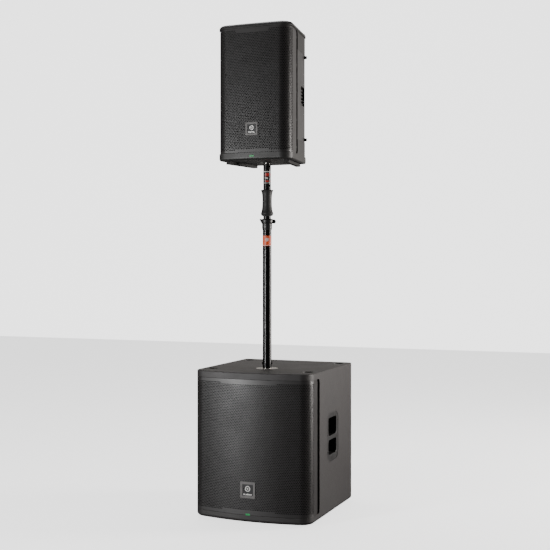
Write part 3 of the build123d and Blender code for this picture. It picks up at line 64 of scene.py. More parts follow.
def linear(colour):
    """An sRGB hex colour as the linear RGBA that the shaders take."""
    values = [int(colour[i : i + 2], 16) / 255 for i in (1, 3, 5)]
    return tuple(v / 12.92 if v <= 0.04045 else ((v + 0.055) / 1.055) ** 2.4 for v in values) + (1.0,)


def put(tree, kind, settings, *values, out=0, **inputs):
    """Add a node and give one of its outputs. Inputs are given in order, or by identifier."""
    node = tree.nodes.new(kind)
    for name, value in settings.items():
        setattr(node, name, value)
    pairs = [(node.inputs[index], value) for index, value in enumerate(values)]
    for name, value in inputs.items():
        pairs.append((next(s for s in node.inputs if s.identifier.replace(" ", "_") == name), value))
    for socket, value in pairs:
        if isinstance(value, bpy.types.NodeSocket):
            tree.links.new(value, socket)
        else:
            socket.default_value = value
    if isinstance(out, int):
        return node.outputs[out]
    return next(s for s in node.outputs if s.identifier == out)


MATH, VECTOR, RANGE, MIX = "ShaderNodeMath", "ShaderNodeVectorMath", "ShaderNodeMapRange", "ShaderNodeMix"
NOISE, GREY = "ShaderNodeTexNoise", "ShaderNodeCombineColor"
BLEND = {"data_type": "RGBA", "blend_type": "MIX"}
TIMES = {"data_type": "RGBA", "blend_type": "MULTIPLY"}


def surface(name, colour, second, rough, metal=0.0, grain=1.0, bump=0.0, patch=60.0, spread=0.06, dust=0.0,
            wear=0.0, coat=0.0, sheen=0.0, specular=0.5, stretch=(1, 1, 1), shade=None, glow=0.0):
    """A finish: two blended colours, grain, roughness that varies, and dust and worn edges if asked for.

    grain and patch are the pattern sizes and bump the grain's height, in mm. Roughness goes spread
    each way. shade is painted shade: (low z, high z, how dark the colour is painted at low z).
    """
    material = bpy.data.materials.new(name)
    material.use_nodes = True
    tree = material.node_tree
    shader = tree.nodes["Principled BSDF"]
    place = put(tree, "ShaderNodeTexCoord", {}, out="Object")
    drawn = put(tree, "ShaderNodeMapping", {}, Vector=place, Scale=stretch)
    patches = put(tree, NOISE, {}, Vector=place, Scale=1000 / patch, Detail=4.0)
    fine = put(tree, NOISE, {}, Vector=drawn, Scale=1000 / grain, Detail=2.0, Roughness=0.6)
    share = put(tree, RANGE, {}, patches, 0.36, 0.66, 0.0, 1.0)
    tone = put(tree, MIX, BLEND, out="Result_Color", Factor_Float=share, A_Color=linear(colour),
               B_Color=linear(second))
    speck = put(tree, RANGE, {}, fine, 0.3, 0.7, 0.82, 1.16)
    # painted shade: below shade[1] the colour is darkened towards low z, down to shade[2] at shade[0]
    if shade:
        height = put(tree, "ShaderNodeSeparateXYZ", {}, place, out=2)
        dark = put(tree, RANGE, {}, height, shade[0], shade[1], shade[2], 1.0)
        speck = put(tree, MATH, {"operation": "MULTIPLY"}, speck, dark)
    speck = put(tree, GREY, {}, speck, speck, speck)
    tone = put(tree, MIX, TIMES, out="Result_Color", Factor_Float=1.0, A_Color=tone, B_Color=speck)
    normal = put(tree, "ShaderNodeNewGeometry", {}, out="Normal")
    if dust:
        upward = put(tree, "ShaderNodeSeparateXYZ", {}, normal, out=2)
        film = put(tree, RANGE, {}, upward, 0.7, 1.0, 0.0, dust)
        settled = put(tree, RANGE, {}, patches, 0.3, 0.7, 0.55, 1.0)
        film = put(tree, MATH, {"operation": "MULTIPLY"}, film, settled)
        tone = put(tree, MIX, BLEND, out="Result_Color", Factor_Float=film, A_Color=tone,
                   B_Color=linear("#9d978f"))
    if wear:
        rounded = put(tree, "ShaderNodeBevel", {"samples": 4}, 0.0014)
        bend = put(tree, VECTOR, {"operation": "DOT_PRODUCT"}, rounded, normal, out="Value")
        edges = put(tree, RANGE, {}, bend, 0.99, 0.88, 0.0, wear)
        rubbed = put(tree, RANGE, {}, patches, 0.42, 0.6, 0.0, 1.0)
        edges = put(tree, MATH, {"operation": "MULTIPLY"}, edges, rubbed)
        tone = put(tree, MIX, BLEND, out="Result_Color", Factor_Float=edges, A_Color=tone,
                   B_Color=linear("#87817a"))
    tree.links.new(tone, shader.inputs["Base Color"])
    tree.links.new(put(tree, RANGE, {}, patches, 0.3, 0.7, rough - spread, rough + spread),
                   shader.inputs["Roughness"])
    shader.inputs["Metallic"].default_value = metal
    shader.inputs["Coat Weight"].default_value = coat
    shader.inputs["Coat Roughness"].default_value = 0.07
    shader.inputs["Sheen Weight"].default_value = sheen
    shader.inputs["Specular IOR Level"].default_value = specular
    if glow:
        shader.inputs["Emission Color"].default_value = linear(colour)
        shader.inputs["Emission Strength"].default_value = glow
    if bump:
        lumps = put(tree, "ShaderNodeBump", {}, Height=fine, Distance=bump / 1000, Strength=1.0)
        tree.links.new(lumps, shader.inputs["Normal"])
    return material


# %% [markdown]
# The cabinet's coat is sprayed polyurea: hard lumps a millimetre or two across, which catch the
# light in specks, with dust on top and rubbed edges. The box's shell and its darker end caps are
# moulded with a fine spark-eroded grain. The grille sheet is punched, bent, then powder coated, so
# its bump is finer. The pole is steel tube with baked enamel; its highlight runs straight down it,
# so the grain is drawn out along Z. Cones are pressed pulp, stretched by the felt they dry on.

# %%
# The finishes
FINISH = {
    # the coat carries painted shade: its colour is darkened towards the floor
    "coat": surface("polyurea, sprayed in a fine texture", "#302d2d", "#2a2828", 0.56, grain=1.7, bump=0.3,
                    patch=190, dust=0.10, wear=0.3, shade=(0.02, 0.6, 0.75)),
    "ply": surface("birch plywood, sawn and stained black", "#2a2522", "#1f1b19", 0.8, grain=2.4, bump=0.2,
                   patch=70, stretch=(1, 1, 8)),
    "shell": surface("polypropylene, injection moulded with a fine grain", "#3c3b3b", "#353434", 0.5,
                     grain=0.9, bump=0.1, patch=150, dust=0.2, wear=0.3),
    "caps": surface("polypropylene, injection moulded darker", "#2c2b2a", "#262524", 0.5, grain=0.9,
                    bump=0.1, patch=120, dust=0.2, wear=0.35),
    "handle": surface("glass filled nylon, injection moulded black", "#1c1b1b", "#161515", 0.46, grain=0.8,
                      bump=0.08, patch=60, wear=0.35),
    "grille": surface("mild steel, perforated and powder coated", "#2e2c2c", "#292727", 0.42, grain=0.7,
                      bump=0.04, patch=110, spread=0.05),
    "foam": surface("open cell polyether foam, black", "#0b0a0a", "#050505", 0.97, grain=1.4, bump=0.5,
                    patch=40, sheen=0.1, specular=0.2),
    "badge": surface("zinc alloy, die cast and painted satin grey", "#5e5c5b", "#545251", 0.42, metal=0.2,
                     grain=0.5, bump=0.02, patch=18, wear=0.4),
    "plaque": surface("zinc alloy, die cast and lacquered dark", "#1d1d1e", "#141415", 0.3, grain=0.5,
                      bump=0.02, patch=18, coat=0.3),
    "bright": surface("aluminium, brushed bright", "#c6c5c2", "#b2b1ae", 0.3, metal=0.8, grain=0.4,
                      bump=0.01, patch=12),
    "lamp": surface("polycarbonate, moulded green and lit from behind", "#0f7a3f", "#148748", 0.3,
                    grain=0.6, bump=0.01, patch=8, glow=0.4),
    "zinc": surface("mild steel, zinc plated", "#c4c0b9", "#aaa7a1", 0.36, metal=1.0, grain=3.0, bump=0.02,
                    patch=9, spread=0.1),
    "screw": surface("carbon steel, black oxide", "#1b1a1a", "#262424", 0.42, metal=0.6, grain=0.7,
                     bump=0.02, patch=6, spread=0.08),
    "rubber": surface("natural rubber, moulded black", "#151414", "#1d1b1a", 0.76, grain=0.8, bump=0.06,
                      patch=14, dust=0.15),
    "basket": surface("aluminium, die cast and powder coated black", "#161616", "#1e1d1d", 0.46, grain=0.9,
                      bump=0.06, patch=24),
    "magnet": surface("ferrite, sintered, with zinc plated plates", "#3a3938", "#2c2b2b", 0.4, metal=0.5,
                      grain=1.0, bump=0.05, patch=16),
    "paper": surface("paper pulp, pressed and sealed black", "#181717", "#100f0f", 0.66, grain=1.1,
                     bump=0.12, patch=20, stretch=(1, 0.3, 1)),
    "surround": surface("nitrile rubber, moulded half roll", "#111010", "#191818", 0.55, grain=0.7,
                        bump=0.03, patch=18),
    "horn": surface("acrylonitrile butadiene styrene, moulded satin", "#151515", "#1c1b1b", 0.36, grain=0.6,
                    bump=0.02, patch=22),
    "panel": surface("aluminium, die cast and textured black", "#232222", "#1a1919", 0.5, grain=0.7,
                     bump=0.06, patch=40, wear=0.3),
    "board": surface("glass epoxy laminate, solder masked green", "#14532b", "#0f4523", 0.35, grain=1.0,
                     bump=0.03, patch=12),
    "glass": surface("toughened glass over a dark display", "#0a0d12", "#0d1118", 0.08, grain=0.6, patch=20,
                     coat=0.6, spread=0.03),
    "socket": surface("polyamide, moulded black", "#121212", "#1b1a1a", 0.4, grain=0.7, bump=0.03, patch=9),
    "tube": surface("steel tube, gloss black enamel", "#060606", "#080807", 0.24, grain=0.9, patch=50,
                    specular=0.25, stretch=(1, 1, 0.12), spread=0.03),
    "inner_tube": surface("steel tube, satin black enamel rubbed by its bush", "#0e0e0e", "#151413", 0.32,
                          grain=0.9, bump=0.004, patch=26, specular=0.25, stretch=(1, 1, 0.1), spread=0.06),
    "nylon": surface("polyamide, moulded black with a light grain", "#171616", "#111010", 0.42, grain=0.8,
                     bump=0.05, patch=18, wear=0.3),
    "grip": surface("thermoplastic elastomer, moulded soft grip", "#181717", "#131212", 0.62, grain=0.6,
                    bump=0.08, patch=16, sheen=0.1),
    "chrome": surface("steel, polished and chrome plated", "#d6d4d0", "#c6c4bf", 0.24, metal=1.0, grain=5.0,
                      bump=0.004, patch=14, spread=0.05),
    "orange": surface("polyester film, printed orange and laminated", "#e2592a", "#d65226", 0.45, grain=0.5,
                      bump=0.004, patch=18),
    "red": surface("polyester film, printed red", "#b3322c", "#a32d28", 0.34, grain=0.5, bump=0.004,
                   patch=12),
    "white": surface("ink, screen printed white", "#d9d6d0", "#cbc8c2", 0.5, grain=0.4, bump=0.004,
                     patch=10),
}
print("finishes", len(FINISH))

# %% [markdown]
# ## Giving the CAD nodes their finishes
# One table says which finish each CAD node takes. The two badges hold three finishes, as the real
# parts do: a badge is a painted casting with a dark plaque and a bright mark. Their faces are told
# apart by where they are and how far they stand out.

# %%
# Finish of each CAD node
NODE_FINISH = {
    "sub_cabinet": "coat", "sub_baffle": "ply", "sub_port_tubes": "socket", "sub_grille": "grille",
    "sub_grille_foam": "foam", "sub_badge": "badge", "sub_status_lens": "lamp", "sub_handles": "handle",
    "sub_feet": "rubber", "sub_stack_cups": "handle", "sub_pole_plate": "zinc",
    "sub_pole_plate_screws": "zinc", "sub_screws": "screw", "sub_woofer_frame": "basket",
    "sub_woofer_magnet": "magnet", "sub_woofer_cone": "paper", "sub_woofer_suspension": "surround",
    "sub_amp_panel": "panel", "sub_amp_module": "board", "sub_amp_display": "glass",
    "sub_signal_jacks": "socket", "sub_mains_inlet": "socket", "sub_power_switch": "socket",
    "sub_level_knob": "nylon", "sat_shell": "shell", "sat_top_cap": "caps", "sat_bottom_cap": "caps",
    "sat_baffle": "ply", "sat_grille": "grille", "sat_grille_foam": "foam", "sat_badge": "badge",
    "sat_status_lens": "lamp", "sat_grips": "shell", "sat_rubber_feet": "rubber", "sat_pole_cup": "nylon",
    "sat_hanging_inserts": "zinc", "sat_screws": "screw", "sat_woofer_frame": "basket",
    "sat_woofer_magnet": "magnet", "sat_woofer_cone": "paper", "sat_woofer_suspension": "surround",
    "sat_horn": "horn", "sat_compression_driver": "magnet", "sat_amp_panel": "panel",
    "sat_amp_module": "board", "sat_amp_display": "glass", "sat_signal_jacks": "socket",
    "sat_mains_inlet": "socket", "sat_power_switch": "socket", "sat_level_knob": "nylon",
    "pole_foot_plug": "zinc", "pole_lower_tube": "tube", "pole_base_bolt": "screw",
    "pole_guide_bush": "nylon", "pole_collar": "nylon", "pole_lock_ring": "nylon", "pole_grip": "grip",
    "pole_upper_tube": "inner_tube", "pole_tail_bush": "nylon", "pole_top_sleeve": "chrome",
}


def repaint(node, finishes, choose):
    """Give a CAD node several finishes: choose takes a face and says which."""
    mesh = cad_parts[node].data
    mesh.materials.clear()
    for finish in finishes:
        mesh.materials.append(FINISH[finish])
    for face in mesh.polygons:
        face.material_index = choose(face)


for node, finish in NODE_FINISH.items():
    repaint(node, [finish], lambda face: 0)
PLAQUE = 0.355  # half the plaque's width as a share of the badge's
MARK = 0.00069  # faces of the mark lie within this depth of the badge's front
for box in ("sub", "sat"):
    low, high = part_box(box + "_badge")
    middle, front, size = (low + high) / 2, low.y, high.x - low.x

    def badge_finish(face, middle=middle, front=front, size=size):
        centre = face.center
        inside = max(abs(centre.x - middle.x), abs(centre.z - middle.z)) < PLAQUE * size
        if not inside:
            return 0
        return 2 if centre.y < front + MARK and -face.normal.y > 0.5 else 1

    repaint(box + "_badge", ["badge", "plaque", "bright"], badge_finish)
print("repainted", len(NODE_FINISH), "nodes of", len(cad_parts))

# %% [markdown]
# ## Perforated grilles
# A grille starts as flat steel with hexagonal holes, and is rolled to the front's bow, bent round
# both front corners and turned in at the side strips. Punching leaves a plain border, deeper in the
# middle of the top and bottom, where the sheet is spot welded to its stiffener. The node tree works
# the same way round: a flat lattice of cells with and without holes, trimmed to a rectangle with
# round corners, then bent. Along the sheet the bend is an arc of the bow's radius, an arc of the
# corner's radius and a straight, so that every point has a closed form.

# %%
# A tree for bent perforated sheet


def tree_with(name, sockets):
    """A Geometry Nodes tree with named number inputs, and their sockets inside it."""
    tree = bpy.data.node_groups.new(name, "GeometryNodeTree")
    for label, default in sockets.items():
        kind = "NodeSocketInt" if isinstance(default, int) else "NodeSocketFloat"
        socket = tree.interface.new_socket(label, in_out="INPUT", socket_type=kind)
        socket.default_value = default
    tree.interface.new_socket("Geometry", in_out="OUTPUT", socket_type="NodeSocketGeometry")
    start = tree.nodes.new("NodeGroupInput")
    return tree, {label: start.outputs[label] for label in sockets}


def close_tree(tree, shape, finish):
    """Realize the shape, give it its finish and send it out of the tree."""
    real = put(tree, "GeometryNodeRealizeInstances", {}, shape)
    dressed = put(tree, "GeometryNodeSetMaterial", {}, Geometry=real, Material=finish)
    end = tree.nodes.new("NodeGroupOutput")
    tree.links.new(dressed, end.inputs[0])


def made_by(tree, name, values, body):
    """Run a tree with these inputs and keep what it makes as a plain mesh that rides on a body."""
    thing = bpy.data.objects.new(name, bpy.data.meshes.new(name))
    bpy.context.scene.collection.objects.link(thing)
    modifier = thing.modifiers.new("tree", "NODES")
    modifier.node_group = tree
    for item in tree.interface.items_tree:
        if item.item_type == "SOCKET" and item.name in values:
            modifier[item.identifier] = values[item.name]
    shot = thing.evaluated_get(bpy.context.evaluated_depsgraph_get())
    mesh = bpy.data.meshes.new_from_object(shot)
    thing.modifiers.clear()
    thing.data = mesh
    mesh.name = name
    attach(thing, body)
    print(name, "faces", len(mesh.polygons))
    return thing


sheet, given = tree_with("bent perforated sheet", {
    "Columns": 90, "Rows": 90, "Pitch": 0.008, "Hole": 0.0033, "Thickness": 0.002, "Half length": 0.3,
    "Half height": 0.3, "Middle height": 0.3, "End round": 0.016, "Holed half": 0.28, "Border": 0.01,
    "Upper deep": 0.02, "Lower deep": 0.017, "Deep inner": 0.124, "Deep outer": 0.139, "Bow radius": 1.0,
    "Corner radius": 0.06, "Bow half": 0.2, "Corner end": 0.28, "Front": -0.3,
})
row_pitch = put(sheet, MATH, {"operation": "MULTIPLY"}, given["Pitch"], math.sqrt(3) / 2)
columns = put(sheet, MATH, {"operation": "MULTIPLY"},
              put(sheet, MATH, {"operation": "SUBTRACT"}, given["Columns"], 1.0), given["Pitch"])
rows = put(sheet, MATH, {"operation": "MULTIPLY"},
           put(sheet, MATH, {"operation": "SUBTRACT"}, given["Rows"], 1.0), row_pitch)
grid = put(sheet, "GeometryNodeMeshGrid", {}, columns, rows, given["Columns"], given["Rows"])
at = put(sheet, "ShaderNodeSeparateXYZ", {}, put(sheet, "GeometryNodeInputPosition", {}))
row = put(sheet, MATH, {"operation": "ROUND"}, put(sheet, MATH, {"operation": "DIVIDE"}, put(
    sheet, MATH, {"operation": "ADD"}, at.node.outputs[1],
    put(sheet, MATH, {"operation": "MULTIPLY"}, rows, 0.5)), row_pitch))
odd = put(sheet, MATH, {"operation": "MODULO"}, row, 2.0)
step = put(sheet, MATH, {"operation": "MULTIPLY"}, odd,
           put(sheet, MATH, {"operation": "MULTIPLY"}, given["Pitch"], 0.5))
lattice = put(sheet, "GeometryNodeSetPosition", {}, Geometry=grid,
              Offset=put(sheet, "ShaderNodeCombineXYZ", {}, step))

# which cells have holes: away from the border, which is deeper in the middle
across = put(sheet, MATH, {"operation": "ABSOLUTE"}, at)
down = at.node.outputs[1]
edge = {}
mirrored = put(sheet, MATH, {"operation": "MULTIPLY"}, down, -1.0)
for label, side in (("Upper deep", down), ("Lower deep", mirrored)):
    depth = put(sheet, RANGE, {}, across, given["Deep inner"], given["Deep outer"], given[label],
                given["Border"])
    limit = put(sheet, MATH, {"operation": "SUBTRACT"}, given["Half height"], depth)
    edge[label] = put(sheet, MATH, {"operation": "LESS_THAN"}, side, limit)
beside = put(sheet, MATH, {"operation": "LESS_THAN"}, across, given["Holed half"])
holed = put(sheet, MATH, {"operation": "MULTIPLY"}, beside,
            put(sheet, MATH, {"operation": "MULTIPLY"}, edge["Upper deep"], edge["Lower deep"]))
plain = put(sheet, MATH, {"operation": "SUBTRACT"}, 1.0, holed)

# one cell: a hexagon, and the same with a hole punched through the sheet
cell_radius = put(sheet, MATH, {"operation": "DIVIDE"}, given["Pitch"], math.sqrt(3))
hexagon = put(sheet, "GeometryNodeMeshCircle", {"fill_type": "NGON"}, 6, cell_radius)
ring = put(sheet, "GeometryNodeExtrudeMesh", {"mode": "FACES"}, Mesh=hexagon, Offset_Scale=0.0)
share = put(sheet, MATH, {"operation": "DIVIDE"}, given["Hole"], cell_radius)
middle = ring.node.outputs["Top"]
punched = put(sheet, "GeometryNodeScaleElements", {}, Geometry=ring, Selection=middle, Scale=share)
wall = put(sheet, "GeometryNodeExtrudeMesh", {"mode": "FACES"}, Mesh=punched, Selection=middle,
           Offset_Scale=put(sheet, MATH, {"operation": "MULTIPLY"}, given["Thickness"], -1.0))
open_cell = put(sheet, "GeometryNodeDeleteGeometry", {"domain": "FACE"}, Geometry=wall,
                Selection=wall.node.outputs["Top"])
turn = (0.0, 0.0, math.radians(30))
cells = [put(sheet, "GeometryNodeInstanceOnPoints", {}, Points=lattice, Selection=chosen, Instance=cell,
             Rotation=turn) for chosen, cell in ((holed, open_cell), (plain, hexagon))]
both = put(sheet, "GeometryNodeJoinGeometry", {}, cells[0])
sheet.links.new(cells[1], both.node.inputs[0])
flat = put(sheet, "GeometryNodeRealizeInstances", {}, both)

# trim to a rectangle with round corners
spot = put(sheet, "GeometryNodeInputPosition", {})
inner_x = put(sheet, MATH, {"operation": "SUBTRACT"}, given["Half length"], given["End round"])
inner_y = put(sheet, MATH, {"operation": "SUBTRACT"}, given["Half height"], given["End round"])
inner = put(sheet, "ShaderNodeCombineXYZ", {}, inner_x, inner_y, 1.0)
less = put(sheet, VECTOR, {"operation": "MINIMUM"}, spot, inner)
opposite = put(sheet, VECTOR, {"operation": "MULTIPLY"}, inner, (-1, -1, -1))
kept = put(sheet, VECTOR, {"operation": "MAXIMUM"}, less, opposite)
past = put(sheet, VECTOR, {"operation": "SUBTRACT"}, spot, kept)
far = put(sheet, VECTOR, {"operation": "LENGTH"}, past, out="Value")
pull = put(sheet, MATH, {"operation": "MINIMUM"}, 1.0, put(
    sheet, MATH, {"operation": "DIVIDE"}, given["End round"],
    put(sheet, MATH, {"operation": "MAXIMUM"}, far, 0.00001)))
trimmed = put(sheet, "GeometryNodeSetPosition", {}, Geometry=flat, Position=put(
    sheet, VECTOR, {"operation": "ADD"}, kept, put(sheet, VECTOR, {"operation": "SCALE"}, past, Scale=pull)))

# bend: bow, corner, side
along = put(sheet, "ShaderNodeSeparateXYZ", {}, put(sheet, "GeometryNodeInputPosition", {}))
run = put(sheet, MATH, {"operation": "ABSOLUTE"}, along)
bow_turn = put(sheet, MATH, {"operation": "DIVIDE"},
               put(sheet, MATH, {"operation": "MINIMUM"}, run, given["Bow half"]), given["Bow radius"])
on_corner = put(sheet, MATH, {"operation": "SUBTRACT"},
                put(sheet, MATH, {"operation": "MINIMUM"}, run, given["Corner end"]), given["Bow half"])
corner_turn = put(sheet, MATH, {"operation": "DIVIDE"},
                  put(sheet, MATH, {"operation": "MAXIMUM"}, on_corner, 0.0), given["Corner radius"])
whole_turn = put(sheet, MATH, {"operation": "ADD"}, bow_turn, corner_turn)
straight = put(sheet, MATH, {"operation": "MAXIMUM"}, 0.0,
               put(sheet, MATH, {"operation": "SUBTRACT"}, run, given["Corner end"]))
core = put(sheet, MATH, {"operation": "SUBTRACT"}, given["Bow radius"], given["Corner radius"])
shell = put(sheet, MATH, {"operation": "ADD"}, given["Corner radius"], along.node.outputs[2])
parts = []
arms = ((bow_turn, core, "out"), (whole_turn, shell, "out"), (whole_turn, straight, "along"))
for angle, reach, kind in arms:
    sine = put(sheet, MATH, {"operation": "SINE"}, angle)
    cosine = put(sheet, MATH, {"operation": "COSINE"}, angle)
    back = put(sheet, MATH, {"operation": "MULTIPLY"}, cosine, -1.0)
    pair = (sine, back) if kind == "out" else (cosine, sine)
    arm = put(sheet, "ShaderNodeCombineXYZ", {}, *pair)
    parts.append(put(sheet, VECTOR, {"operation": "SCALE"}, arm, Scale=reach))
placed = put(sheet, VECTOR, {"operation": "ADD"}, parts[0],
             put(sheet, VECTOR, {"operation": "ADD"}, parts[1], parts[2]))
placed = put(sheet, "ShaderNodeSeparateXYZ", {}, placed)
side = put(sheet, MATH, {"operation": "SIGN"}, along)
final = put(sheet, "ShaderNodeCombineXYZ", {},
            put(sheet, MATH, {"operation": "MULTIPLY"}, placed, side),
            put(sheet, MATH, {"operation": "ADD"}, placed.node.outputs[1],
                put(sheet, MATH, {"operation": "ADD"}, given["Front"], given["Bow radius"])),
            put(sheet, MATH, {"operation": "ADD"}, along.node.outputs[1], given["Middle height"]))
bent = put(sheet, "GeometryNodeSetPosition", {}, Geometry=trimmed, Position=final)
welded = put(sheet, "GeometryNodeMergeByDistance", {}, Geometry=bent, Distance=0.00004)
close_tree(sheet, welded, FINISH["grille"])
print("sheet tree nodes", len(sheet.nodes))

# %% [markdown]
# The two fronts use the same tree with their own sizes. The strip's return and its screwed lip down
# in the channel are plain folded steel, so they are made as folded bars behind the strip's edge.

# %%
# The two grilles

# half widths at the front and back, front and back y, bow, corner radius; all in metres
OUTLINE = {
    "sub": (0.277, 0.277, -0.3135, 0.3135, 0.0376, 0.060),
    "sat": (0.178, 0.1325, -0.270, 0.060, 0.008, 0.050),
}
STRIP = {"sub": (-0.190, 0.009), "sat": (-0.142, 0.006)}  # y of the strip's back edge, channel depth
SHEET = 0.002  # thickness of the folded return and lip
LIP = 0.020  # how far the lip reaches behind the strip's edge
BORDERS = {
    "sub": {"Border": 0.010, "Upper deep": 0.020, "Lower deep": 0.017, "Deep inner": 0.124,
            "Deep outer": 0.139},
    "sat": {"Border": 0.008, "Upper deep": 0.021, "Lower deep": 0.017, "Deep inner": 0.068,
            "Deep outer": 0.085},
}


def bends(front_half, back_half, front_y, back_y, bow, corner):
    """The radii and run lengths of a front, from its middle to its side."""
    lean = (front_half - back_half) / (back_y - front_y - bow)
    slope = math.hypot(1, lean)
    bow_radius = (front_half**2 + bow**2) / (2 * bow)
    start = (front_half - corner / slope, bow - corner * lean / slope - bow_radius)
    along_side = (-lean / slope, 1 / slope)
    b = start[0] * along_side[0] + start[1] * along_side[1]
    c = start[0] ** 2 + start[1] ** 2 - (bow_radius - corner) ** 2
    shift = -b - math.sqrt(b * b - c)
    centre = (start[0] + shift * along_side[0], start[1] + shift * along_side[1])
    bow_turn = math.atan2(centre[0], -centre[1])
    bow_half = bow_radius * bow_turn
    corner_end = bow_half + corner * (math.pi / 2 + math.atan(lean) - bow_turn)
    tangent_y = front_y + bow_radius + centre[1] + corner * lean / slope
    return {"lean": lean, "slope": slope, "radius": bow_radius, "bow": bow_half, "end": corner_end,
            "tangent": tangent_y}


def folded_bars(name, box, low, high):
    """The strip's return to the channel's floor and the lip on it, both sides in one mesh."""
    front_half, back_half, front_y, back_y, bow, corner = OUTLINE[box]
    lean = (front_half - back_half) / (back_y - front_y - bow)
    slope = math.hypot(1, lean)
    edge_y, depth = STRIP[box]
    edge = (edge_y - front_y - bow) * slope
    bars = ((edge - SHEET, edge, depth, 0.0004), (edge - SHEET, edge + LIP, depth, depth - SHEET))
    vertices, faces = [], []
    for side in (-1, 1):
        for near, away, inner, outer in bars:
            first = len(vertices)
            for z in (low, high):
                for run, drop in ((near, inner), (away, inner), (away, outer), (near, outer)):
                    x = front_half - run * lean / slope - drop / slope
                    y = front_y + bow + run / slope - drop * lean / slope
                    vertices.append((side * x, y, z))
            quads = ((0, 3, 2, 1), (4, 5, 6, 7), (0, 1, 5, 4), (1, 2, 6, 5), (2, 3, 7, 6), (3, 0, 4, 7))
            for quad in quads:
                order = quad if side > 0 else quad[::-1]
                faces.append([first + index for index in order])
    mesh = bpy.data.meshes.new(name)
    mesh.from_pydata(vertices, [], faces)
    mesh.materials.append(FINISH["grille"])
    thing = bpy.data.objects.new(name, mesh)
    bpy.context.scene.collection.objects.link(thing)
    bevel = thing.modifiers.new("edge", "BEVEL")
    bevel.width, bevel.segments = 0.0005, 2
    return thing


for box, body in (("sub", "base"), ("sat", "top_box")):
    bend = bends(*OUTLINE[box])
    low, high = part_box(box + "_grille")
    half_height = (high.z - low.z) / 2 - 0.0012
    straight = (STRIP[box][0] - bend["tangent"]) * bend["slope"]
    half_length = bend["end"] + straight
    pitch = 0.008
    values = {
        "Pitch": pitch, "Hole": 0.0029, "Thickness": 0.0018, "Half length": half_length,
        "Half height": half_height, "Middle height": (low.z + high.z) / 2,
        "Holed half": bend["end"] - 0.004, "Bow radius": bend["radius"],
        "Corner radius": OUTLINE[box][5], "Bow half": bend["bow"], "Corner end": bend["end"],
        "Front": OUTLINE[box][2], "Columns": 2 * math.ceil(half_length / pitch) + 3,
        "Rows": 2 * math.ceil(half_height / (pitch * 0.866)) + 3, **BORDERS[box],
    }
    front = made_by(sheet, box + "_grille_sheet", values, body)
    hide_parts(box + "_grille")
    lips = folded_bars(box + "_grille_lips", box, low.z + 0.018, high.z - 0.018)
    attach(lips, body)

# %% [markdown]
# ## Labels on the pole
# The outer tube carries one wrapped film label, orange with a pale stripe and a plain disc. The inner
# tube carries a narrower one with red and pale blocks. Each is one film a tenth of a millimetre
# thick; which ink a spot has depends on its angle and height.

# %%
# Wrapped labels


def wrapped(name, centre, radius, low, high, inks, choose, body):
    """A film round a tube, in cells of about 1 mm; choose(degrees, mm up) says each cell's ink."""
    around, up = 144, round((high - low) * 1000)
    vertices, faces = [], []
    for level in range(up + 1):
        z = low + (high - low) * level / up
        for step in range(around):
            turn = math.radians(360 * step / around)
            vertices.append((centre[0] + radius * math.sin(turn), centre[1] - radius * math.cos(turn), z))
    for level in range(up):
        for step in range(around):
            after = (step + 1) % around
            faces.append([level * around + step, level * around + after, (level + 1) * around + after,
                          (level + 1) * around + step])
    mesh = bpy.data.meshes.new(name)
    mesh.from_pydata(vertices, [], faces)
    for ink in inks:
        mesh.materials.append(FINISH[ink])
    for index, face in enumerate(mesh.polygons):
        face.use_smooth = True
        face.material_index = choose((index % around + 0.5) * 360 / around, index // around + 0.5)
    thing = bpy.data.objects.new(name, mesh)
    bpy.context.scene.collection.objects.link(thing)
    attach(thing, body)
    print(name, "faces", len(faces))


def outer_ink(degrees, up):
    across = (degrees - 21) * math.pi * 20 / 180
    if 2 < up < 4.5:
        return 1
    return 1 if math.hypot(across, up - 28) < 8 and not 4 < math.hypot(across, up - 28) < 5.2 else 0


def inner_ink(degrees, up):
    across = ((degrees - 21 + 30) % 90 - 30) * math.pi * 17.5 / 180
    if up < 2.5 or up > 51:
        return 2
    if abs(across) < 9 and 32 < up < 46:
        return 1
    if abs(across) < 9 and 6 < up < 13:
        return 1
    return 2 if -9 < across < 3 and 18 < up < 27 and round(across) % 3 else 0


wrapped("pole_outer_label", (0, -0.09), 0.02012, 1.215, 1.261, ["orange", "white"], outer_ink, "base")
wrapped("pole_inner_label", (0, -0.09), 0.01762, 1.499, 1.553, ["socket", "red", "white"], inner_ink, "mast")

# %% [markdown]
# ## Trim screws of the handles, and the printed legends
# Each moulded handle is screwed to its cabinet through the bezel, by a ring of small black screws
# with a socket in the head. The amplifiers' panels carry white printing: a scale round each level
# knob and frames round the sockets. The screws and the scales repeat on a rule, so they are made by
# trees too; the frames are drawn as thin quads.

# %%
# Bezel screws
bezel, given = tree_with("screws round a bezel", {
    "Length": 0.134, "Height": 0.196, "Round": 0.033, "Count": 8, "Head": 0.0027, "Rise": 0.0009,
    "Side": 1.0, "Face": 0.276, "Middle": 0.021, "Level": 0.352,
})
path = put(bezel, "GeometryNodeCurvePrimitiveQuadrilateral", {}, given["Length"], given["Height"])
path = put(bezel, "GeometryNodeFilletCurve", {"mode": "POLY"}, Curve=path, Count=12, Radius=given["Round"])
spots = put(bezel, "GeometryNodeCurveToPoints", {"mode": "COUNT"}, Curve=path, Count=given["Count"])
head = put(bezel, "GeometryNodeMeshCone", {"fill_type": "NGON"}, Vertices=12, Radius_Bottom=given["Head"],
           Radius_Top=put(bezel, MATH, {"operation": "MULTIPLY"}, given["Head"], 0.8), Depth=given["Rise"])
rim = put(bezel, "GeometryNodeExtrudeMesh", {"mode": "FACES"}, Mesh=head, Selection=head.node.outputs["Top"],
          Offset_Scale=0.0)
crown = rim.node.outputs["Top"]
shrunk = put(bezel, "GeometryNodeScaleElements", {}, Geometry=rim, Selection=crown, Scale=0.5)
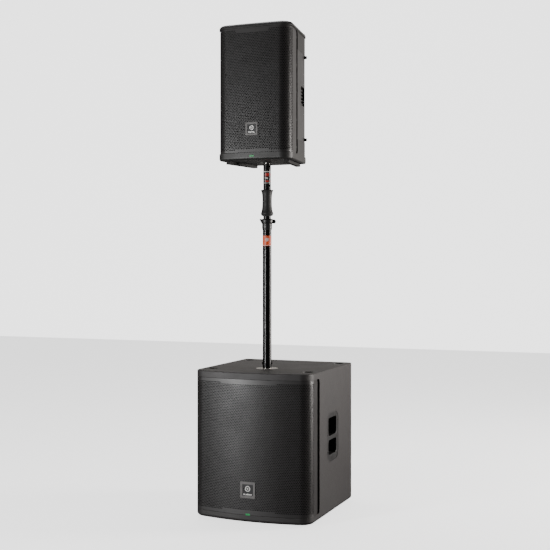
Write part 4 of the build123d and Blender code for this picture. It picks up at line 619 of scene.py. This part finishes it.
recess = put(bezel, "GeometryNodeExtrudeMesh", {"mode": "FACES"}, Mesh=shrunk, Selection=crown,
             Offset_Scale=-0.0006)
heads = put(bezel, "GeometryNodeInstanceOnPoints", {}, Points=spots, Instance=recess)
quarter = put(bezel, MATH, {"operation": "MULTIPLY"}, given["Side"], math.pi / 2)
facing = put(bezel, "ShaderNodeCombineXYZ", {}, math.pi / 2, 0.0, quarter)
spot = put(bezel, "ShaderNodeCombineXYZ", {},
           put(bezel, MATH, {"operation": "MULTIPLY"}, given["Side"], given["Face"]), given["Middle"],
           given["Level"])
ring_of_heads = put(bezel, "GeometryNodeRealizeInstances", {}, heads)
turned = put(bezel, "GeometryNodeTransform", {}, Geometry=ring_of_heads, Rotation=facing,
             Translation=spot)
close_tree(bezel, turned, FINISH["screw"])
for side, label in ((1.0, "right"), (-1.0, "left")):
    made_by(bezel, "sub_handle_screws_" + label, {"Side": side}, "base")

# %%
# Printed scales and frames of the amplifier panels
dial, given = tree_with("scale round a knob", {
    "Marks": 11, "Radius": 0.0135, "Long": 0.0026, "Wide": 0.0008, "Sweep": 5.236,
    "X": 0.1, "Y": 0.2796, "Z": 0.2,
})
arc = put(dial, "GeometryNodeCurveArc", {"mode": "RADIUS"}, Resolution=given["Marks"], Radius=given["Radius"],
          Start_Angle=math.radians(-60), Sweep_Angle=given["Sweep"])
marks = put(dial, "GeometryNodeCurveToPoints", {"mode": "EVALUATED"}, Curve=arc)
tick = put(dial, "GeometryNodeMeshGrid", {}, given["Wide"], given["Long"], 2, 2)
ticks = put(dial, "GeometryNodeInstanceOnPoints", {}, Points=marks, Instance=tick,
            Rotation=marks.node.outputs["Rotation"])
where = put(dial, "ShaderNodeCombineXYZ", {}, given["X"], given["Y"], given["Z"])
turned = put(dial, "GeometryNodeTransform", {}, Geometry=put(dial, "GeometryNodeRealizeInstances", {}, ticks),
             Rotation=(-math.pi / 2, 0.0, 0.0), Translation=where)
close_tree(dial, turned, FINISH["white"])


def printed_frames(name, y, frames, body):
    """Thin white frames printed on a panel that faces +Y: each is (x, z, width, height)."""
    vertices, faces = [], []
    line = 0.0007
    for x, z, wide, tall in frames:
        for cx, cz, w, h in ((x, z + tall / 2, wide, line), (x, z - tall / 2, wide, line),
                             (x - wide / 2, z, line, tall), (x + wide / 2, z, line, tall)):
            first = len(vertices)
            vertices += [(cx + a * w / 2, y, cz + b * h / 2) for a, b in ((1, -1), (-1, -1), (-1, 1), (1, 1))]
            faces.append([first, first + 1, first + 2, first + 3])
    mesh = bpy.data.meshes.new(name)
    mesh.from_pydata(vertices, [], faces)
    mesh.materials.append(FINISH["white"])
    thing = bpy.data.objects.new(name, mesh)
    bpy.context.scene.collection.objects.link(thing)
    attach(thing, body)


INK = 0.0001  # how far the printing stands off the panel
for box, body in (("sub", "base"), ("sat", "top_box")):
    knob_low, knob_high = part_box(box + "_level_knob")
    knob = (knob_low + knob_high) / 2
    jack_low, jack_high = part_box(box + "_signal_jacks")
    face = jack_high.y - 0.0025
    jack_z = (jack_low.z + jack_high.z) / 2
    screen_low, screen_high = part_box(box + "_amp_display")
    made_by(dial, box + "_dial_print", {"X": knob.x, "Y": face + INK, "Z": knob.z}, body)
    width, height = jack_high.x - jack_low.x, jack_high.z - jack_low.z
    shown = (screen_high.x - screen_low.x, screen_high.z - screen_low.z)
    frames = [(0, jack_z, width + 0.008, height + 0.008),
              (0, (screen_low.z + screen_high.z) / 2, shown[0] + 0.006, shown[1] + 0.006)]
    printed_frames(box + "_panel_print", face + INK, frames, body)

# %% [markdown]
# ## Floor, light and camera
# A pale floor and backdrop, one tall soft light from the left front, one from the right for the
# sides, and a weak one overhead. The rounded corner between front and side faces none of them, so it
# stays dark and draws the cabinets' edges. A dim card behind, which only reflections see, gives the
# top, the sides and the bright metal their sheen at a low angle.

# %%
# Stage


def sheet_of(name, corners, colour, glow=0.0):
    mesh = bpy.data.meshes.new(name)
    mesh.from_pydata(corners, [], [(0, 1, 2, 3)])
    thing = bpy.data.objects.new(name, mesh)
    bpy.context.scene.collection.objects.link(thing)
    mesh.materials.append(surface("gypsum board, painted pale " + name, colour, colour, 0.8, grain=4,
                                  patch=900, glow=glow))
    return thing


def lamp(name, where, target, size, power, colour="#ffffff"):
    light = bpy.data.lights.new(name, "AREA")
    light.shape, light.size, light.size_y, light.energy = "RECTANGLE", size[0], size[1], power
    light.color = linear(colour)[:3]
    thing = bpy.data.objects.new(name, light)
    bpy.context.scene.collection.objects.link(thing)
    thing.location = where
    thing.rotation_euler = (Vector(target) - Vector(where)).to_track_quat("-Z", "Y").to_euler()


floor = sheet_of("floor", [(-9, -9, 0), (9, -9, 0), (9, 9, 0), (-9, 9, 0)], "#f4f4f4", glow=1.9)
backdrop = sheet_of("backdrop", [(-16, 8.9, 0), (10, 8.9, 0), (10, 8.9, 9), (-16, 8.9, 9)], "#ffffff",
                    glow=2.6)
for pale in (floor, backdrop):
    pale.visible_diffuse = pale.visible_glossy = False
card = sheet_of("card", [(-9, 8.5, 0), (9, 8.5, 0), (9, 8.5, 5), (-9, 8.5, 5)], "#d8d4d0", glow=0.7)
card.visible_camera = card.visible_diffuse = card.visible_shadow = False
lamp("left front", (-2.35, -4.2, 0.85), (0, 0, 0.55), (0.55, 1.6), 205)
lamp("right", (3.9, 1.9, 1.2), (0, 0, 0.8), (1.4, 2.2), 280, "#fffaf6")
lamp("overhead", (-0.6, 0.6, 4.8), (0, 0, 0.6), (2.0, 2.0), 85)
world = bpy.data.worlds.new("room")
world.use_nodes = True
world.node_tree.nodes["Background"].inputs[0].default_value = linear("#ffffff")
world.node_tree.nodes["Background"].inputs[1].default_value = 0.07
bpy.context.scene.world = world

camera = bpy.data.objects.new("camera", bpy.data.cameras.new("camera"))
bpy.context.scene.collection.objects.link(camera)
camera.location = (1.807, -4.545, 1.149)
camera.rotation_euler = (math.radians(90), 0, math.radians(21.65))
camera.data.sensor_width = 36
camera.data.lens = 69.26
camera.data.shift_y = -14.5 / 550
bpy.context.scene.camera = camera
